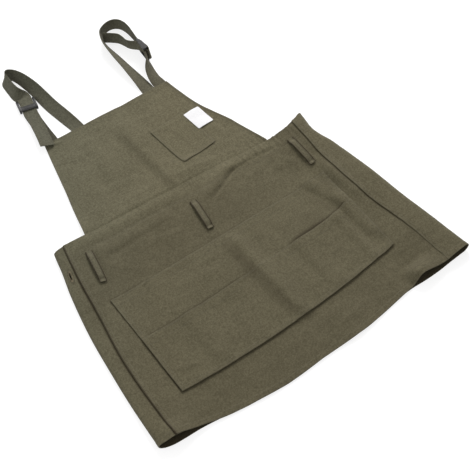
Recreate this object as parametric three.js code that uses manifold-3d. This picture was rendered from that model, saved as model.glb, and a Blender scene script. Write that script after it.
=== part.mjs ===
// Work apron with a wrap-round skirt, lying face up with both sides turned under.
// Millimetres, +Z up. +Y runs from the hem to the bib, +X to the right seen from above.
import * as THREE from 'three';
import { mergeVertices } from 'three/addons/utils/BufferGeometryUtils.js';
import Module from 'manifold-3d';

const wasm = await Module();
wasm.setup();

const { lerp, clamp, degToRad, smoothstep } = THREE.MathUtils;

// Driving sizes
const CLOTH = 1.4; // canvas wall
const GAP = 0.6; // clear space between sewn layers
const LAYER = CLOTH + GAP; // rise of one layer lying on another
const STRAP_WIDTH = 32;
const STRAP_THICKNESS = 2;
const TAB_THICKNESS = 1.6;
const SEAM_LAP = 12; // overlap of the lapped side seams
const RISE_REACH = 140; // how far in from a side fold the front comes down to its level
const FOLD_BULGE = 0.6; // half-width of the turned edge over its height
const BACK_EDGE = 40; // half of the gap between the back panels
const SIDE_LINE = 360; // place across at which the side folds' heights are read
const BIB_RISE_END = { from: 126, to: 190 }; // stretch over which the sides' rise dies out up the bib
const TOP_SHARES = [0, 0.5, 1]; // grid lines of a side panel between its seam and its fold
const TURN_STEPS = 7; // facets round a side fold
const BACK_STEPS = 7; // facets across a back panel
const LOOP_CLEARANCE = 1; // space between a belt loop's sewn ends and the cloth
const POCKET_CLEARANCE = 1; // space between the left seam's lap and the pockets
const MIDDLE = { x: 9.6, y: 104.4 }; // middle of the laid apron, which is the origin

// Skirt sections across the apron: the outer edge of each side fold, each side seam,
// and the height at which each fold turns
const SKIRT_SECTIONS = [
  { y: -405, leftFold: -396, leftSeam: -357, rightSeam: 352, rightFold: 416, leftRise: 21, rightRise: 21 },
  { y: -300, leftFold: -390, leftSeam: -353, rightSeam: 344, rightFold: 403, leftRise: 15, rightRise: 20 },
  { y: -200, leftFold: -381, leftSeam: -346, rightSeam: 330, rightFold: 391, leftRise: 13, rightRise: 19 },
  { y: -100, leftFold: -369, leftSeam: -331, rightSeam: 319, rightFold: 380, leftRise: 13, rightRise: 21 },
  { y: 0, leftFold: -350, leftSeam: -318, rightSeam: 315, rightFold: 364, leftRise: 14, rightRise: 23 },
  { y: 60, leftFold: -334, leftSeam: -308, rightSeam: 317, rightFold: 349, leftRise: 15, rightRise: 25.5 },
  { y: 115, leftFold: -321, leftSeam: -297, rightSeam: 317, rightFold: 354, leftRise: 17, rightRise: 27.5 },
];

// Lines across the skirt at its edges: the front and back hems and the waist edge
const EDGE_LINES = [
  { x: -400, front: -395, back: -395, waist: 108 },
  { x: -370, front: -399, back: -404, waist: 110 },
  { x: -340, front: -402, back: -406.5, waist: 113 },
  { x: -300, front: -406.5, back: -408, waist: 118 },
  { x: -230, front: -419.5, back: -416, waist: 117 },
  { x: -110, front: -431, back: -426, waist: 115 },
  { x: 0, front: -427, back: -421, waist: 112 },
  { x: 100, front: -425.5, back: -420, waist: 108 },
  { x: 200, front: -411.5, back: -408, waist: 102 },
  { x: 250, front: -404.5, back: -405.5, waist: 97.5 },
  { x: 280, front: -401, back: -406.5, waist: 96.5 },
  { x: 302, front: -402, back: -406.5, waist: 98 },
  { x: 330, front: -402.5, back: -405.5, waist: 105 },
  { x: 357, front: -401.5, back: -403, waist: 115 },
  { x: 420, front: -398, back: -398.5, waist: 118 },
];

// Rows down the skirt between its edges, after the hem: height at the left and right of the pocket,
// and how much lower the middle hangs
const HEM_ROW = 0;
const INNER_ROWS = [
  { left: -391, right: -387, sag: 19 },
  { left: -357, right: -342, sag: 17 },
  { left: -322, right: -298, sag: 15 },
  { left: -286, right: -261, sag: 13 },
  { left: -250, right: -224, sag: 11 },
  { left: -214, right: -187, sag: 9 },
  { left: -177, right: -149, sag: 8 },
  { left: -147, right: -125, sag: 5 },
  { left: -117, right: -101, sag: 3 },
  { left: -88, right: -77, sag: 1 },
  { left: -58, right: -53, sag: 0 },
  { left: -30, right: -28, sag: 0 },
  { left: -1, right: -2, sag: 0 },
  { left: 28, right: 24, sag: 0 },
  { left: 55, right: 50, sag: 0 },
  { left: 82, right: 75, sag: 0 },
  { left: 101, right: 90, sag: 0 },
];
const POCKET_BOTTOM_ROW = 3;
const POCKET_MIDDLE_ROW = 7;
const POCKET_TOP_ROW = 11;
const WAIST_STITCH_ROW = 16;
const WAIST_EDGE_ROW = INNER_ROWS.length + 1;
const ROW_COUNT = WAIST_EDGE_ROW + 1;
const ROW_SPAN = 288; // half-width at which the rows' left and right heights are given
const SAG_LIMIT = 1.5; // share of its sag that a row rises beyond that width, with 1 for none

// Upright grid lines that the front panel, the pockets and the bib share
const LINE_STEP = 24;
const POCKET_HALF_WIDTH = 288;
const BIB_HALF_WIDTH = 240;

// Bib sections: its left and right edges
const BIB_SECTIONS = [
  { y: 96, left: -246, right: 245 },
  { y: 126, left: -240, right: 237.5 },
  { y: 200, left: -223, right: 220 },
  { y: 250, left: -211, right: 201 },
  { y: 300, left: -200, right: 183 },
  { y: 350, left: -189, right: 172 },
  { y: 398, left: -178, right: 164 },
];
const BIB_ROWS = [142, 160, 182, 206, 230, 254, 278, 302, 326, 350, 374, 398];

// Height of the front cloth where it lies flat: over the straps, the waist layers and the back panels
const LEVELS = [
  { y: -430, z: 3.4 },
  { y: -60, z: 3.4 },
  { y: 50, z: 8.2 },
  { y: 126, z: 8.2 },
  { y: 200, z: 4.4 },
  { y: 400, z: 4.4 },
];

// Folds that stand up from the front cloth, each along a line from its start to its end.
// The widths of the left and right flanks are as seen walking along that line.
const FOLD_FADE = 40; // length over which a fold dies out beyond each end
const FOLDS = [
  { name: 'bib centre crease', from: [2, 160], to: [-8, 335], left: 26, right: 60, height: 3.4 },
  { name: 'bib left crease', from: [-98, 220], to: [-97, 340], left: 20, right: 45, height: 1.4 },
  { name: 'bib left swell', from: [-180, 170], to: [-150, 260], left: 45, right: 45, height: 3 },
  { name: 'waist roll right', from: [125, 88], to: [215, 84], left: 34, right: 14, height: 3.4 },
  { name: 'waist roll middle', from: [55, 58], to: [118, 86], left: 34, right: 14, height: 3.6 },
  { name: 'waist roll left', from: [-250, 101], to: [-30, 96], left: 30, right: 20, height: 1.6 },
  { name: 'left cross swell', from: [-225, 60], to: [-80, 58], left: 28, right: 24, height: 2 },
  { name: 'right gather', from: [308, -130], to: [305, -60], left: 20, right: 30, height: 6 },
  { name: 'pocket slanting fold', from: [268, -130], to: [244, -60], left: 22, right: 34, height: 5 },
  { name: 'pocket upright fold', from: [272, -235], to: [270, -140], left: 20, right: 34, height: 5 },
  { name: 'pocket inner fold', from: [238, -290], to: [236, -175], left: 20, right: 24, height: 3.5 },
  { name: 'pocket right crease', from: [124, -290], to: [122, -180], left: 20, right: 45, height: 3 },
  { name: 'pocket centre crease', from: [20, -305], to: [12, -95], left: 34, right: 45, height: 6.5 },
  { name: 'pocket centre swell', from: [-25, -150], to: [-25, -95], left: 80, right: 40, height: 3 },
  { name: 'pocket left crease', from: [-182, -290], to: [-184, -190], left: 20, right: 45, height: 2.5 },
  { name: 'hem right mouth', from: [281, -440], to: [279, -392], left: 32, right: 88, height: 23 },
  { name: 'hem left mouth', from: [-358, -440], to: [-354, -392], left: 36, right: 48, height: 8 },
  { name: 'hem wave', from: [90, -440], to: [100, -370], left: 70, right: 80, height: 4 },
];

// Breast pocket and the blank label at its right edge: lower left corner, size and turn in degrees
const BREAST_POCKET = { x: 53, y: 162, width: 96, height: 122, turn: 5.5 };
const PATCH_STEPS = { rows: 5, columns: 4 };
const LABEL = { x: 139, y: 225, width: 44, height: 57, turn: 5, thickness: 1, drop: 1.6 };
const LABEL_STEPS = { rows: 3, columns: 3 };

// Belt loops: the places of their upper and lower ends
const BELT_LOOPS = [
  { name: 'belt_loop_left', top: [-260, 74], bottom: [-275, -9] },
  { name: 'belt_loop_centre', top: [4, 58], bottom: [-7, -26] },
  { name: 'belt_loop_right', top: [283, 64], bottom: [285, -20] },
];
const LOOP_WIDTH = 15;
const LOOP_THICKNESS = 2;
// Stations along a loop: share of its length and height over the cloth
const LOOP_PROFILE = [
  { along: 0, lift: 0 },
  { along: 0.07, lift: 0 },
  { along: 0.12, lift: 4.4 },
  { along: 0.19, lift: 8 },
  { along: 0.5, lift: 8.6 },
  { along: 0.81, lift: 8 },
  { along: 0.88, lift: 4.4 },
  { along: 0.93, lift: 0 },
  { along: 1, lift: 0 },
];

// Stitched slit through the left side panel near the waist
const SLIT = { x: -325, y: 42, length: 22, width: 3, turn: -15, depth: 10 };

// Buckles: place, the way they point round Z, and how far they lean over onto one side rail
const BUCKLES = {
  left: { side: -1, x: -147.5, y: 532, z: 0, yaw: -12, lean: 0 },
  right: { side: 1, x: 164.5, y: 508, z: 23, yaw: -5, lean: 80 },
};
// In a buckle's own frame v runs towards the shoulder loop and w out of its face
const RAIL_INNER = 18; // half of the clear width between the side rails
const RAIL_OUTER = 22.6; // half of the buckle's width
const RAIL_OUTLINE = [
  { v: -19, w: 0.6 },
  { v: 17, w: 0.6 },
  { v: 19, w: 2.6 },
  { v: 18, w: 6.4 },
  { v: 12, w: 9.4 },
  { v: 4, w: 11.4 },
  { v: -4, w: 12.4 },
  { v: -14, w: 12.8 },
  { v: -19.6, w: 12 },
  { v: -21, w: 8 },
  { v: -20.6, w: 3 },
];
const BUCKLE_BARS = [
  { name: 'loop bar', v: 15, w: 3.8, halfLength: 2, halfHeight: 1.3 },
  { name: 'lip plate', v: -14, w: 10.7, halfLength: 7.5, halfHeight: 1.4 },
  { name: 'tab bar', v: -13.5, w: 3.8, halfLength: 2, halfHeight: 1 },
];
const BAR_SIDES = 12;

// Strap routes outside the buckles: centre line and lean of the width, 0 flat and 90 on edge
const STRAP_ROUTES = {
  left: {
    run: [
      { x: -92, y: 84, z: 3.1, lean: 0 },
      { x: -91, y: 117, z: 3.1, lean: 0 },
      { x: -90, y: 142, z: 1.5, lean: 0 },
      { x: -88, y: 260, z: 1.5, lean: 0 },
      { x: -86, y: 370, z: 1.5, lean: 0 },
      { x: -87, y: 402, z: 1.8, lean: 0 },
      { x: -96, y: 450, z: 7, lean: 20 },
      { x: -103, y: 492, z: 8.2, lean: 24 },
      { x: -107, y: 530, z: 10.4, lean: 33 },
      { x: -110, y: 560, z: 12.4, lean: 42 },
      { x: -116, y: 590, z: 14.2, lean: 52 },
      { x: -123, y: 612, z: 15.8, lean: 63 },
      { x: -132, y: 628, z: 16.6, lean: 73 },
      { x: -142, y: 635, z: 16.8, lean: 78 },
      { x: -150, y: 632, z: 16.4, lean: 70 },
      { x: -154.5, y: 622, z: 15.4, lean: 61 },
      { x: -155.5, y: 605, z: 14.8, lean: 58 },
      { x: -155.8, y: 588, z: 14.8, lean: 57 },
      { x: -154.5, y: 574, z: 13.6, lean: 48 },
      { x: -149.5, y: 563, z: 10.4, lean: 22 },
    ],
    tail: [
      { x: -157, y: 478, z: 7.6, lean: -8 },
      { x: -163.5, y: 444, z: 9.6, lean: -14 },
      { x: -170.5, y: 412, z: 12, lean: -16 },
      { x: -176, y: 388, z: 13, lean: -14 },
    ],
  },
  right: {
    run: [
      { x: 112, y: 84, z: 3.1, lean: 0 },
      { x: 112, y: 117, z: 3.1, lean: 0 },
      { x: 112, y: 142, z: 1.5, lean: 0 },
      { x: 113, y: 260, z: 1.5, lean: 0 },
      { x: 114, y: 370, z: 1.5, lean: 0 },
      { x: 114, y: 402, z: 1.8, lean: 0 },
      { x: 113, y: 440, z: 6.4, lean: 18 },
      { x: 111, y: 488, z: 10.4, lean: 34 },
      { x: 109, y: 540, z: 12.8, lean: 45 },
      { x: 108, y: 578, z: 15.2, lean: 59 },
      { x: 111, y: 600, z: 16.2, lean: 70 },
      { x: 118, y: 616, z: 16.8, lean: 77 },
      { x: 131, y: 626, z: 17, lean: 83 },
      { x: 147, y: 631, z: 17, lean: 88 },
      { x: 162, y: 629, z: 17, lean: 90 },
      { x: 173, y: 620, z: 17, lean: 90 },
      { x: 179, y: 604, z: 17, lean: 90 },
      { x: 180, y: 585, z: 17.4, lean: 88 },
      { x: 178, y: 565, z: 19, lean: 85 },
      { x: 175.5, y: 547, z: 21.6, lean: 82 },
    ],
    tail: [
      { x: 157.5, y: 538, z: 20, lean: 79 },
      { x: 151.5, y: 549, z: 18.4, lean: 80 },
      { x: 149, y: 564, z: 17.2, lean: 85 },
      { x: 144, y: 579, z: 17, lean: 90 },
      { x: 131, y: 592, z: 17, lean: 90 },
      { x: 116, y: 603.5, z: 17, lean: 90 },
    ],
  },
};
// Ways through a buckle, in its own frame
const STRAP_THROUGH = {
  left: [
    { v: 24, w: 7.4 },
    { v: 15, w: 7.2 },
    { v: 8, w: 7 },
    { v: 2, w: 7.2 },
    { v: -4, w: 7.7 },
    { v: -10, w: 8 },
    { v: -16, w: 8 },
    { v: -22, w: 7.8 },
    { v: -32, w: 6.9 },
  ],
  right: [
    { v: 24, w: 6.9 },
    { v: 15, w: 7.4 },
    { v: 8, w: 9.4 },
    { v: 2, w: 12 },
    { v: -4, w: 14.2 },
    { v: -10, w: 15 },
    { v: -17, w: 15 },
    { v: -23, w: 13.6 },
    { v: -25.4, w: 10.8 },
    { v: -23, w: 8.4 },
    { v: -16, w: 7.9 },
    { v: -10, w: 7.9 },
    { v: -4, w: 7.2 },
    { v: 2, w: 6 },
    { v: 7, w: 4 },
    { v: 11, w: 1.9 },
    { v: 15, w: 1.1 },
    { v: 20, w: -1.8 },
  ],
};
const TAB_THROUGH = [
  { v: -31, w: 1.2 },
  { v: -22, w: 1.2 },
  { v: -14.5, w: 1.2 },
  { v: -11.2, w: 1.9 },
  { v: -10.2, w: 3.8 },
  { v: -11.2, w: 5.3 },
  { v: -13.5, w: 5.8 },
  { v: -16.5, w: 5.4 },
  { v: -19.5, w: 4.2 },
  { v: -24, w: 3.4 },
  { v: -30, w: 3.3 },
];
// Tabs between the bib and the buckles
const TAB_ROUTES = {
  left: [
    { x: -158, y: 374, z: 1.2, lean: 0 },
    { x: -158, y: 404, z: 1.2, lean: 0 },
    { x: -157, y: 450, z: 1.2, lean: 0 },
  ],
  right: [
    { x: 148, y: 374, z: 1.4, lean: 0 },
    { x: 148, y: 402, z: 1.6, lean: 0 },
    { x: 147, y: 424, z: 6.2, lean: 17 },
    { x: 151.5, y: 448, z: 11.8, lean: 36 },
  ],
};
const STRAP_STEPS = 3; // facets between two stations of a strap
const SHORT_STEPS = 2; // facets between two stations of a tab or a belt loop

// Materials
const CANVAS = { color: 0x6a6450, roughness: 0.95, metalness: 0 };
const WEBBING = { color: 0x625d49, roughness: 0.95, metalness: 0 };
const BLACK_PLASTIC = { color: 0x1c1c1e, roughness: 0.45, metalness: 0 };
const WHITE_LABEL = { color: 0xf2f2f2, roughness: 0.8, metalness: 0 };

// One column of a table at a place along its key column, as a smooth curve through its rows.
function sectionAt(rows, column, place, key = 'y') {
  const last = rows.length - 1;
  const at = clamp(place, rows[0][key], rows[last][key]);
  const i = clamp(rows.findIndex((row) => row[key] >= at), 1, last);
  const slope = (k) => {
    const before = rows[Math.max(k - 1, 0)];
    const after = rows[Math.min(k + 1, last)];
    return (after[column] - before[column]) / (after[key] - before[key]);
  };
  const span = rows[i][key] - rows[i - 1][key];
  const t = (at - rows[i - 1][key]) / span;
  const start = (1 + 2 * t) * (1 - t) ** 2 * rows[i - 1][column] + t * (1 - t) ** 2 * span * slope(i - 1);
  const end = t * t * (3 - 2 * t) * rows[i][column] + t * t * (t - 1) * span * slope(i);
  return start + end;
}

// Level of the flat-lying front cloth, eased between the rows of LEVELS.
function levelAt(y) {
  const i = clamp(LEVELS.findIndex((row) => row.y >= y), 1, LEVELS.length - 1);
  return lerp(LEVELS[i - 1].z, LEVELS[i].z, smoothstep(y, LEVELS[i - 1].y, LEVELS[i].y));
}

// Height that the folds add at a place on the front cloth.
function foldHeight(x, y) {
  let sum = 0;
  for (const fold of FOLDS) {
    const alongX = fold.to[0] - fold.from[0];
    const alongY = fold.to[1] - fold.from[1];
    const length = Math.hypot(alongX, alongY);
    const dx = x - fold.from[0];
    const dy = y - fold.from[1];
    const along = (dx * alongX + dy * alongY) / length;
    const toRight = (dx * alongY - dy * alongX) / length;
    const across = Math.min(Math.abs(toRight) / (toRight > 0 ? fold.right : fold.left), 1);
    const fade = smoothstep(along, -FOLD_FADE, 0) * (1 - smoothstep(along, length, length + FOLD_FADE));
    sum += fold.height * fade * 0.5 * (1 + Math.cos(Math.PI * across));
  }
  return sum;
}

// Half-width of the turned edge at a side fold.
const foldBulge = (rise) => FOLD_BULGE * rise;

// Height of the front cloth's middle over the floor: level, rise to the side folds, and folds.
function surface(x, y) {
  const level = levelAt(y);
  const leftRise = sectionAt(SKIRT_SECTIONS, 'leftRise', y);
  const rightRise = sectionAt(SKIRT_SECTIONS, 'rightRise', y);
  const leftStart = sectionAt(SKIRT_SECTIONS, 'leftFold', y) + foldBulge(leftRise);
  const rightStart = sectionAt(SKIRT_SECTIONS, 'rightFold', y) - foldBulge(rightRise);
  const left = 1 - smoothstep(x, leftStart, leftStart + RISE_REACH);
  const right = smoothstep(x, rightStart - RISE_REACH, rightStart);
  const onSkirt = 1 - smoothstep(y, BIB_RISE_END.from, BIB_RISE_END.to);
  const rise = left * (leftRise - level) + right * (rightRise - level);
  return level + rise * onSkirt + foldHeight(x, y);
}

// Height up the apron of one row of the skirt at a given x.
function rowY(row, x) {
  if (row === HEM_ROW) {
    return sectionAt(EDGE_LINES, 'front', x, 'x');
  }
  if (row === WAIST_EDGE_ROW) {
    return sectionAt(EDGE_LINES, 'waist', x, 'x');
  }
  const { left, right, sag } = INNER_ROWS[row - 1];
  const t = x / ROW_SPAN;
  return lerp(left, right, (t + 1) / 2) - sag * (1 - Math.min(t * t, SAG_LIMIT));
}

// Closed solid of a cloth sheet from a grid of middle points and outward directions.
function sheetSolid(points, normals, thickness = CLOTH) {
  const rows = points.length;
  const columns = points[0].length;
  const position = [];
  for (const side of [1, -1]) {
    for (let r = 0; r < rows; r += 1) {
      for (let c = 0; c < columns; c += 1) {
        const corner = points[r][c].clone().addScaledVector(normals[r][c], (side * thickness) / 2);
        position.push(corner.x, corner.y, corner.z);
      }
    }
  }
  const outer = (r, c) => r * columns + c;
  const inner = (r, c) => rows * columns + r * columns + c;
  const index = [];
  const quad = (a, b, c, d) => index.push(a, b, c, a, c, d);
  for (let r = 0; r + 1 < rows; r += 1) {
    for (let c = 0; c + 1 < columns; c += 1) {
      quad(outer(r, c), outer(r, c + 1), outer(r + 1, c + 1), outer(r + 1, c));
      quad(inner(r, c), inner(r + 1, c), inner(r + 1, c + 1), inner(r, c + 1));
    }
  }
  const lastRow = rows - 1;
  const lastColumn = columns - 1;
  for (let c = 0; c < lastColumn; c += 1) {
    quad(inner(0, c), inner(0, c + 1), outer(0, c + 1), outer(0, c));
    quad(outer(lastRow, c), outer(lastRow, c + 1), inner(lastRow, c + 1), inner(lastRow, c));
  }
  for (let r = 0; r < lastRow; r += 1) {
    quad(outer(r, 0), outer(r + 1, 0), inner(r + 1, 0), inner(r, 0));
    quad(inner(r, lastColumn), inner(r + 1, lastColumn), outer(r + 1, lastColumn), outer(r, lastColumn));
  }
  return facingOut(position, index);
}

// Indexed geometry whose faces point out, whichever way the grid was walked.
function facingOut(position, index) {
  const at = (k) => new THREE.Vector3().fromArray(position, 3 * k);
  let volume = 0;
  for (let i = 0; i < index.length; i += 3) {
    volume += at(index[i]).dot(at(index[i + 1]).cross(at(index[i + 2])));
  }
  const outward = volume > 0 ? index : [...index].reverse();
  const geometry = new THREE.BufferGeometry();
  geometry.setAttribute('position', new THREE.Float32BufferAttribute(position, 3));
  geometry.setIndex(outward);
  return geometry;
}

const UP = new THREE.Vector3(0, 0, 1);

// Sheet that lies on the front cloth: a grid of places, and the height of each over the cloth.
function lyingSheet(rows, columns, place, thickness = CLOTH) {
  const points = [];
  for (let r = 0; r < rows; r += 1) {
    points.push([]);
    for (let c = 0; c < columns; c += 1) {
      const { x, y, over } = place(r, c);
      points[r].push(new THREE.Vector3(x, y, surface(x, y) + over));
    }
  }
  const normals = points.map((row) => row.map(() => UP));
  return sheetSolid(points, normals, thickness);
}

// Grid lines across the pockets.
function pocketLines() {
  const count = (2 * POCKET_HALF_WIDTH) / LINE_STEP + 1;
  return Array.from({ length: count }, (_, i) => -POCKET_HALF_WIDTH + i * LINE_STEP);
}

// Where the left seam's lap ends, clear of the pockets.
const leftLapEnd = (seam) => Math.min(seam + SEAM_LAP, -POCKET_HALF_WIDTH - POCKET_CLEARANCE);

// Front panel: over the left side panel at its left seam, under the right one at its right seam.
function skirtFront() {
  const lines = pocketLines();
  const rowAcross = (r) => {
    const middleY = rowY(r, 0);
    const leftSeam = sectionAt(SKIRT_SECTIONS, 'leftSeam', middleY);
    const rightSeam = sectionAt(SKIRT_SECTIONS, 'rightSeam', middleY);
    const betweenRight = (POCKET_HALF_WIDTH + rightSeam) / 2;
    return [leftSeam, leftLapEnd(leftSeam), ...lines, betweenRight, rightSeam, rightSeam + SEAM_LAP];
  };
  return lyingSheet(ROW_COUNT, rowAcross(0).length, (r, c) => {
    const x = rowAcross(r)[c];
    return { x, y: rowY(r, x), over: 0 };
  });
}

// Pocket patch from one row of the skirt to another, a number of layers above the front panel.
function pocketPatch(bottomRow, topRow, layers) {
  const lines = pocketLines();
  return lyingSheet(topRow - bottomRow + 1, lines.length, (r, c) => {
    const x = lines[c];
    return { x, y: rowY(bottomRow + r, x), over: layers * LAYER };
  });
}

// Bib: its lower end lies one layer below the waist hem.
function bib() {
  const lines = pocketLines().filter((x) => Math.abs(x) <= BIB_HALF_WIDTH);
  const lapRows = WAIST_EDGE_ROW - WAIST_STITCH_ROW + 1;
  return lyingSheet(lapRows + BIB_ROWS.length, lines.length, (r, c) => {
    const inLap = r < lapRows;
    if (inLap) {
      return { x: lines[c], y: rowY(WAIST_STITCH_ROW + r, lines[c]), over: -LAYER };
    }
    const y = BIB_ROWS[r - lapRows];
    const share = (lines[c] + BIB_HALF_WIDTH) / (2 * BIB_HALF_WIDTH);
    const x = lerp(sectionAt(BIB_SECTIONS, 'left', y), sectionAt(BIB_SECTIONS, 'right', y), share);
    return { x, y, over: 0 };
  });
}

// Side panel: from its seam out to the fold, round it, and back under to the middle of the back.
function sidePanel(side) {
  const seamColumn = side < 0 ? 'leftSeam' : 'rightSeam';
  const foldColumn = side < 0 ? 'leftFold' : 'rightFold';
  const riseColumn = side < 0 ? 'leftRise' : 'rightRise';
  const points = [];
  const normals = [];
  for (let r = 0; r < ROW_COUNT; r += 1) {
    const middleY = rowY(r, 0);
    const sideY = rowY(r, side * SIDE_LINE);
    const seam = sectionAt(SKIRT_SECTIONS, seamColumn, middleY);
    const fold = sectionAt(SKIRT_SECTIONS, foldColumn, sideY);
    const bulge = foldBulge(sectionAt(SKIRT_SECTIONS, riseColumn, sideY));
    const turnX = fold - side * bulge;
    const over = side * LAYER;
    const profile = [];
    const onTop = (x) => profile.push({ x, y: rowY(r, x), z: surface(x, rowY(r, x)) + over });
    const lapStart = side < 0 ? leftLapEnd(seam) : seam;
    const lapEnd = side < 0 ? seam : seam + SEAM_LAP;
    onTop(lapStart);
    for (const share of TOP_SHARES) {
      onTop(lerp(lapEnd, turnX, share));
    }
    const topZ = profile[profile.length - 1].z;
    const floorZ = CLOTH / 2;
    const backY = (x) => (r === HEM_ROW ? sectionAt(EDGE_LINES, 'back', x, 'x') : rowY(r, x));
    for (let k = 1; k <= TURN_STEPS; k += 1) {
      const turned = k / TURN_STEPS;
      const angle = Math.PI * turned;
      const x = turnX + side * bulge * Math.sin(angle);
      const z = (topZ + floorZ) / 2 + ((topZ - floorZ) / 2) * Math.cos(angle);
      profile.push({ x, y: lerp(rowY(r, x), backY(x), turned), z });
    }
    for (let k = 1; k <= BACK_STEPS; k += 1) {
      const x = lerp(turnX, side * BACK_EDGE, k / BACK_STEPS);
      profile.push({ x, y: backY(x), z: floorZ });
    }
    points.push(profile.map(({ x, y, z }) => new THREE.Vector3(x, y, z)));
    normals.push(profileNormals(profile, side));
  }
  return sheetSolid(points, normals);
}

// Directions out of a fold's section, square to it in the XZ plane.
function profileNormals(profile, side) {
  return profile.map((_, i) => {
    const before = profile[Math.max(i - 1, 0)];
    const after = profile[Math.min(i + 1, profile.length - 1)];
    const alongX = after.x - before.x;
    const alongZ = after.z - before.z;
    return new THREE.Vector3(-side * alongZ, 0, side * alongX).normalize();
  });
}

// Solid as a manifold, for joining and cutting.
function toManifold(geometry) {
  const bare = geometry.clone();
  bare.deleteAttribute('normal');
  bare.deleteAttribute('uv');
  const merged = mergeVertices(bare);
  return new wasm.Manifold(new wasm.Mesh({
    numProp: 3,
    vertProperties: new Float32Array(merged.attributes.position.array),
    triVerts: new Uint32Array(merged.index.array),
  }));
}

// Geometry of a joined or cut manifold.
function fromManifold(solid) {
  const mesh = solid.getMesh();
  const geometry = new THREE.BufferGeometry();
  geometry.setAttribute('position', new THREE.Float32BufferAttribute(mesh.vertProperties, 3));
  geometry.setIndex([...mesh.triVerts]);
  return geometry;
}

// Left side panel with its slit cut through the upper wall.
function slitSidePanel() {
  const cutter = new THREE.BoxGeometry(SLIT.width, SLIT.length, SLIT.depth);
  cutter.rotateZ(degToRad(SLIT.turn));
  cutter.translate(SLIT.x, SLIT.y, surface(SLIT.x, SLIT.y) - LAYER);
  return fromManifold(toManifold(sidePanel(-1)).subtract(toManifold(cutter)));
}

// Small sheet turned on the bib, from its lower left corner.
function patchOnBib({ x, y, width, height, turn, thickness = CLOTH, drop = 0 }, steps, layers) {
  const cos = Math.cos(degToRad(turn));
  const sin = Math.sin(degToRad(turn));
  return lyingSheet(steps.rows + 1, steps.columns + 1, (r, c) => {
    const u = (width * c) / steps.columns;
    const v = (height * r) / steps.rows;
    const over = layers * LAYER + GAP - (drop * c) / steps.columns;
    return { x: x + u * cos - v * sin, y: y + u * sin + v * cos, over };
  }, thickness);
}

// Ribbon solid along stations that hold a centre and a width direction.
function ribbonSolid(stations, width, thickness, steps) {
  const line = new THREE.CatmullRomCurve3(stations.map((station) => station.centre), false, 'centripetal');
  const count = (stations.length - 1) * steps;
  const points = [];
  const normals = [];
  for (let k = 0; k <= count; k += 1) {
    const t = k / count;
    const centre = line.getPoint(t);
    const tangent = line.getTangent(t);
    const i = Math.min(Math.floor(k / steps), stations.length - 2);
    const share = k / steps - i;
    const across = stations[i].across.clone().lerp(stations[i + 1].across, share);
    across.addScaledVector(tangent, -across.dot(tangent)).normalize();
    const half = across.clone().multiplyScalar(width / 2);
    const normal = tangent.clone().cross(across).normalize();
    points.push([centre.clone().sub(half), centre.clone().add(half)]);
    normals.push([normal, normal]);
  }
  return sheetSolid(points, normals, thickness);
}

// Belt loop: a strip sewn down at both ends that stands clear of the cloth between them.
function beltLoop({ top, bottom }) {
  const direction = new THREE.Vector3(bottom[0] - top[0], bottom[1] - top[1], 0).normalize();
  const level = UP.clone().cross(direction).multiplyScalar(LOOP_WIDTH / 2);
  const rest = CLOTH / 2 + LOOP_CLEARANCE + LOOP_THICKNESS / 2;
  const stations = LOOP_PROFILE.map(({ along, lift }) => {
    const x = lerp(top[0], bottom[0], along);
    const y = lerp(top[1], bottom[1], along);
    const start = surface(x - level.x, y - level.y);
    const end = surface(x + level.x, y + level.y);
    const across = new THREE.Vector3(2 * level.x, 2 * level.y, end - start).normalize();
    const under = Math.max(surface(x, y), (start + end) / 2);
    return { centre: new THREE.Vector3(x, y, under + rest + lift), across };
  });
  return ribbonSolid(stations, LOOP_WIDTH, LOOP_THICKNESS, SHORT_STEPS);
}

// Width direction of a strap that leans over on the given side.
function leaning(side, lean) {
  const angle = degToRad(lean);
  return new THREE.Vector3(side * Math.cos(angle), 0, -Math.sin(angle));
}

// Frame of a buckle: u across the strap, v towards the shoulder loop, w out of its face.
function buckleFrame({ side, x, y, z, yaw, lean }) {
  const turned = new THREE.Matrix4().makeRotationZ(degToRad(yaw));
  const u = leaning(side, lean).transformDirection(turned);
  const v = new THREE.Vector3(0, 1, 0).transformDirection(turned);
  const w = side < 0 ? v.clone().cross(u) : u.clone().cross(v);
  return { u, v, w, origin: new THREE.Vector3(x, y, z) };
}

const inFrame = (frame, v, w) => frame.origin.clone().addScaledVector(frame.v, v).addScaledVector(frame.w, w);

const freeStations = (rows, side) => rows.map(({ x, y, z, lean }) => {
  return { centre: new THREE.Vector3(x, y, z), across: leaning(side, lean) };
});

const buckleStations = (rows, frame) => rows.map(({ v, w }) => {
  return { centre: inFrame(frame, v, w), across: frame.u };
});

// Long strap from the back waist, round the shoulder loop and through its buckle to the free end.
function strap(name) {
  const buckle = BUCKLES[name];
  const route = STRAP_ROUTES[name];
  const stations = [
    ...freeStations(route.run, buckle.side),
    ...buckleStations(STRAP_THROUGH[name], buckleFrame(buckle)),
    ...freeStations(route.tail, buckle.side),
  ];
  return ribbonSolid(stations, STRAP_WIDTH, STRAP_THICKNESS, STRAP_STEPS);
}

// Short tab from behind the bib's top edge, looped round the buckle's tab bar.
function tab(name) {
  const buckle = BUCKLES[name];
  const stations = [
    ...freeStations(TAB_ROUTES[name], buckle.side),
    ...buckleStations(TAB_THROUGH, buckleFrame(buckle)),
  ];
  return ribbonSolid(stations, STRAP_WIDTH, TAB_THICKNESS, SHORT_STEPS);
}

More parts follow.
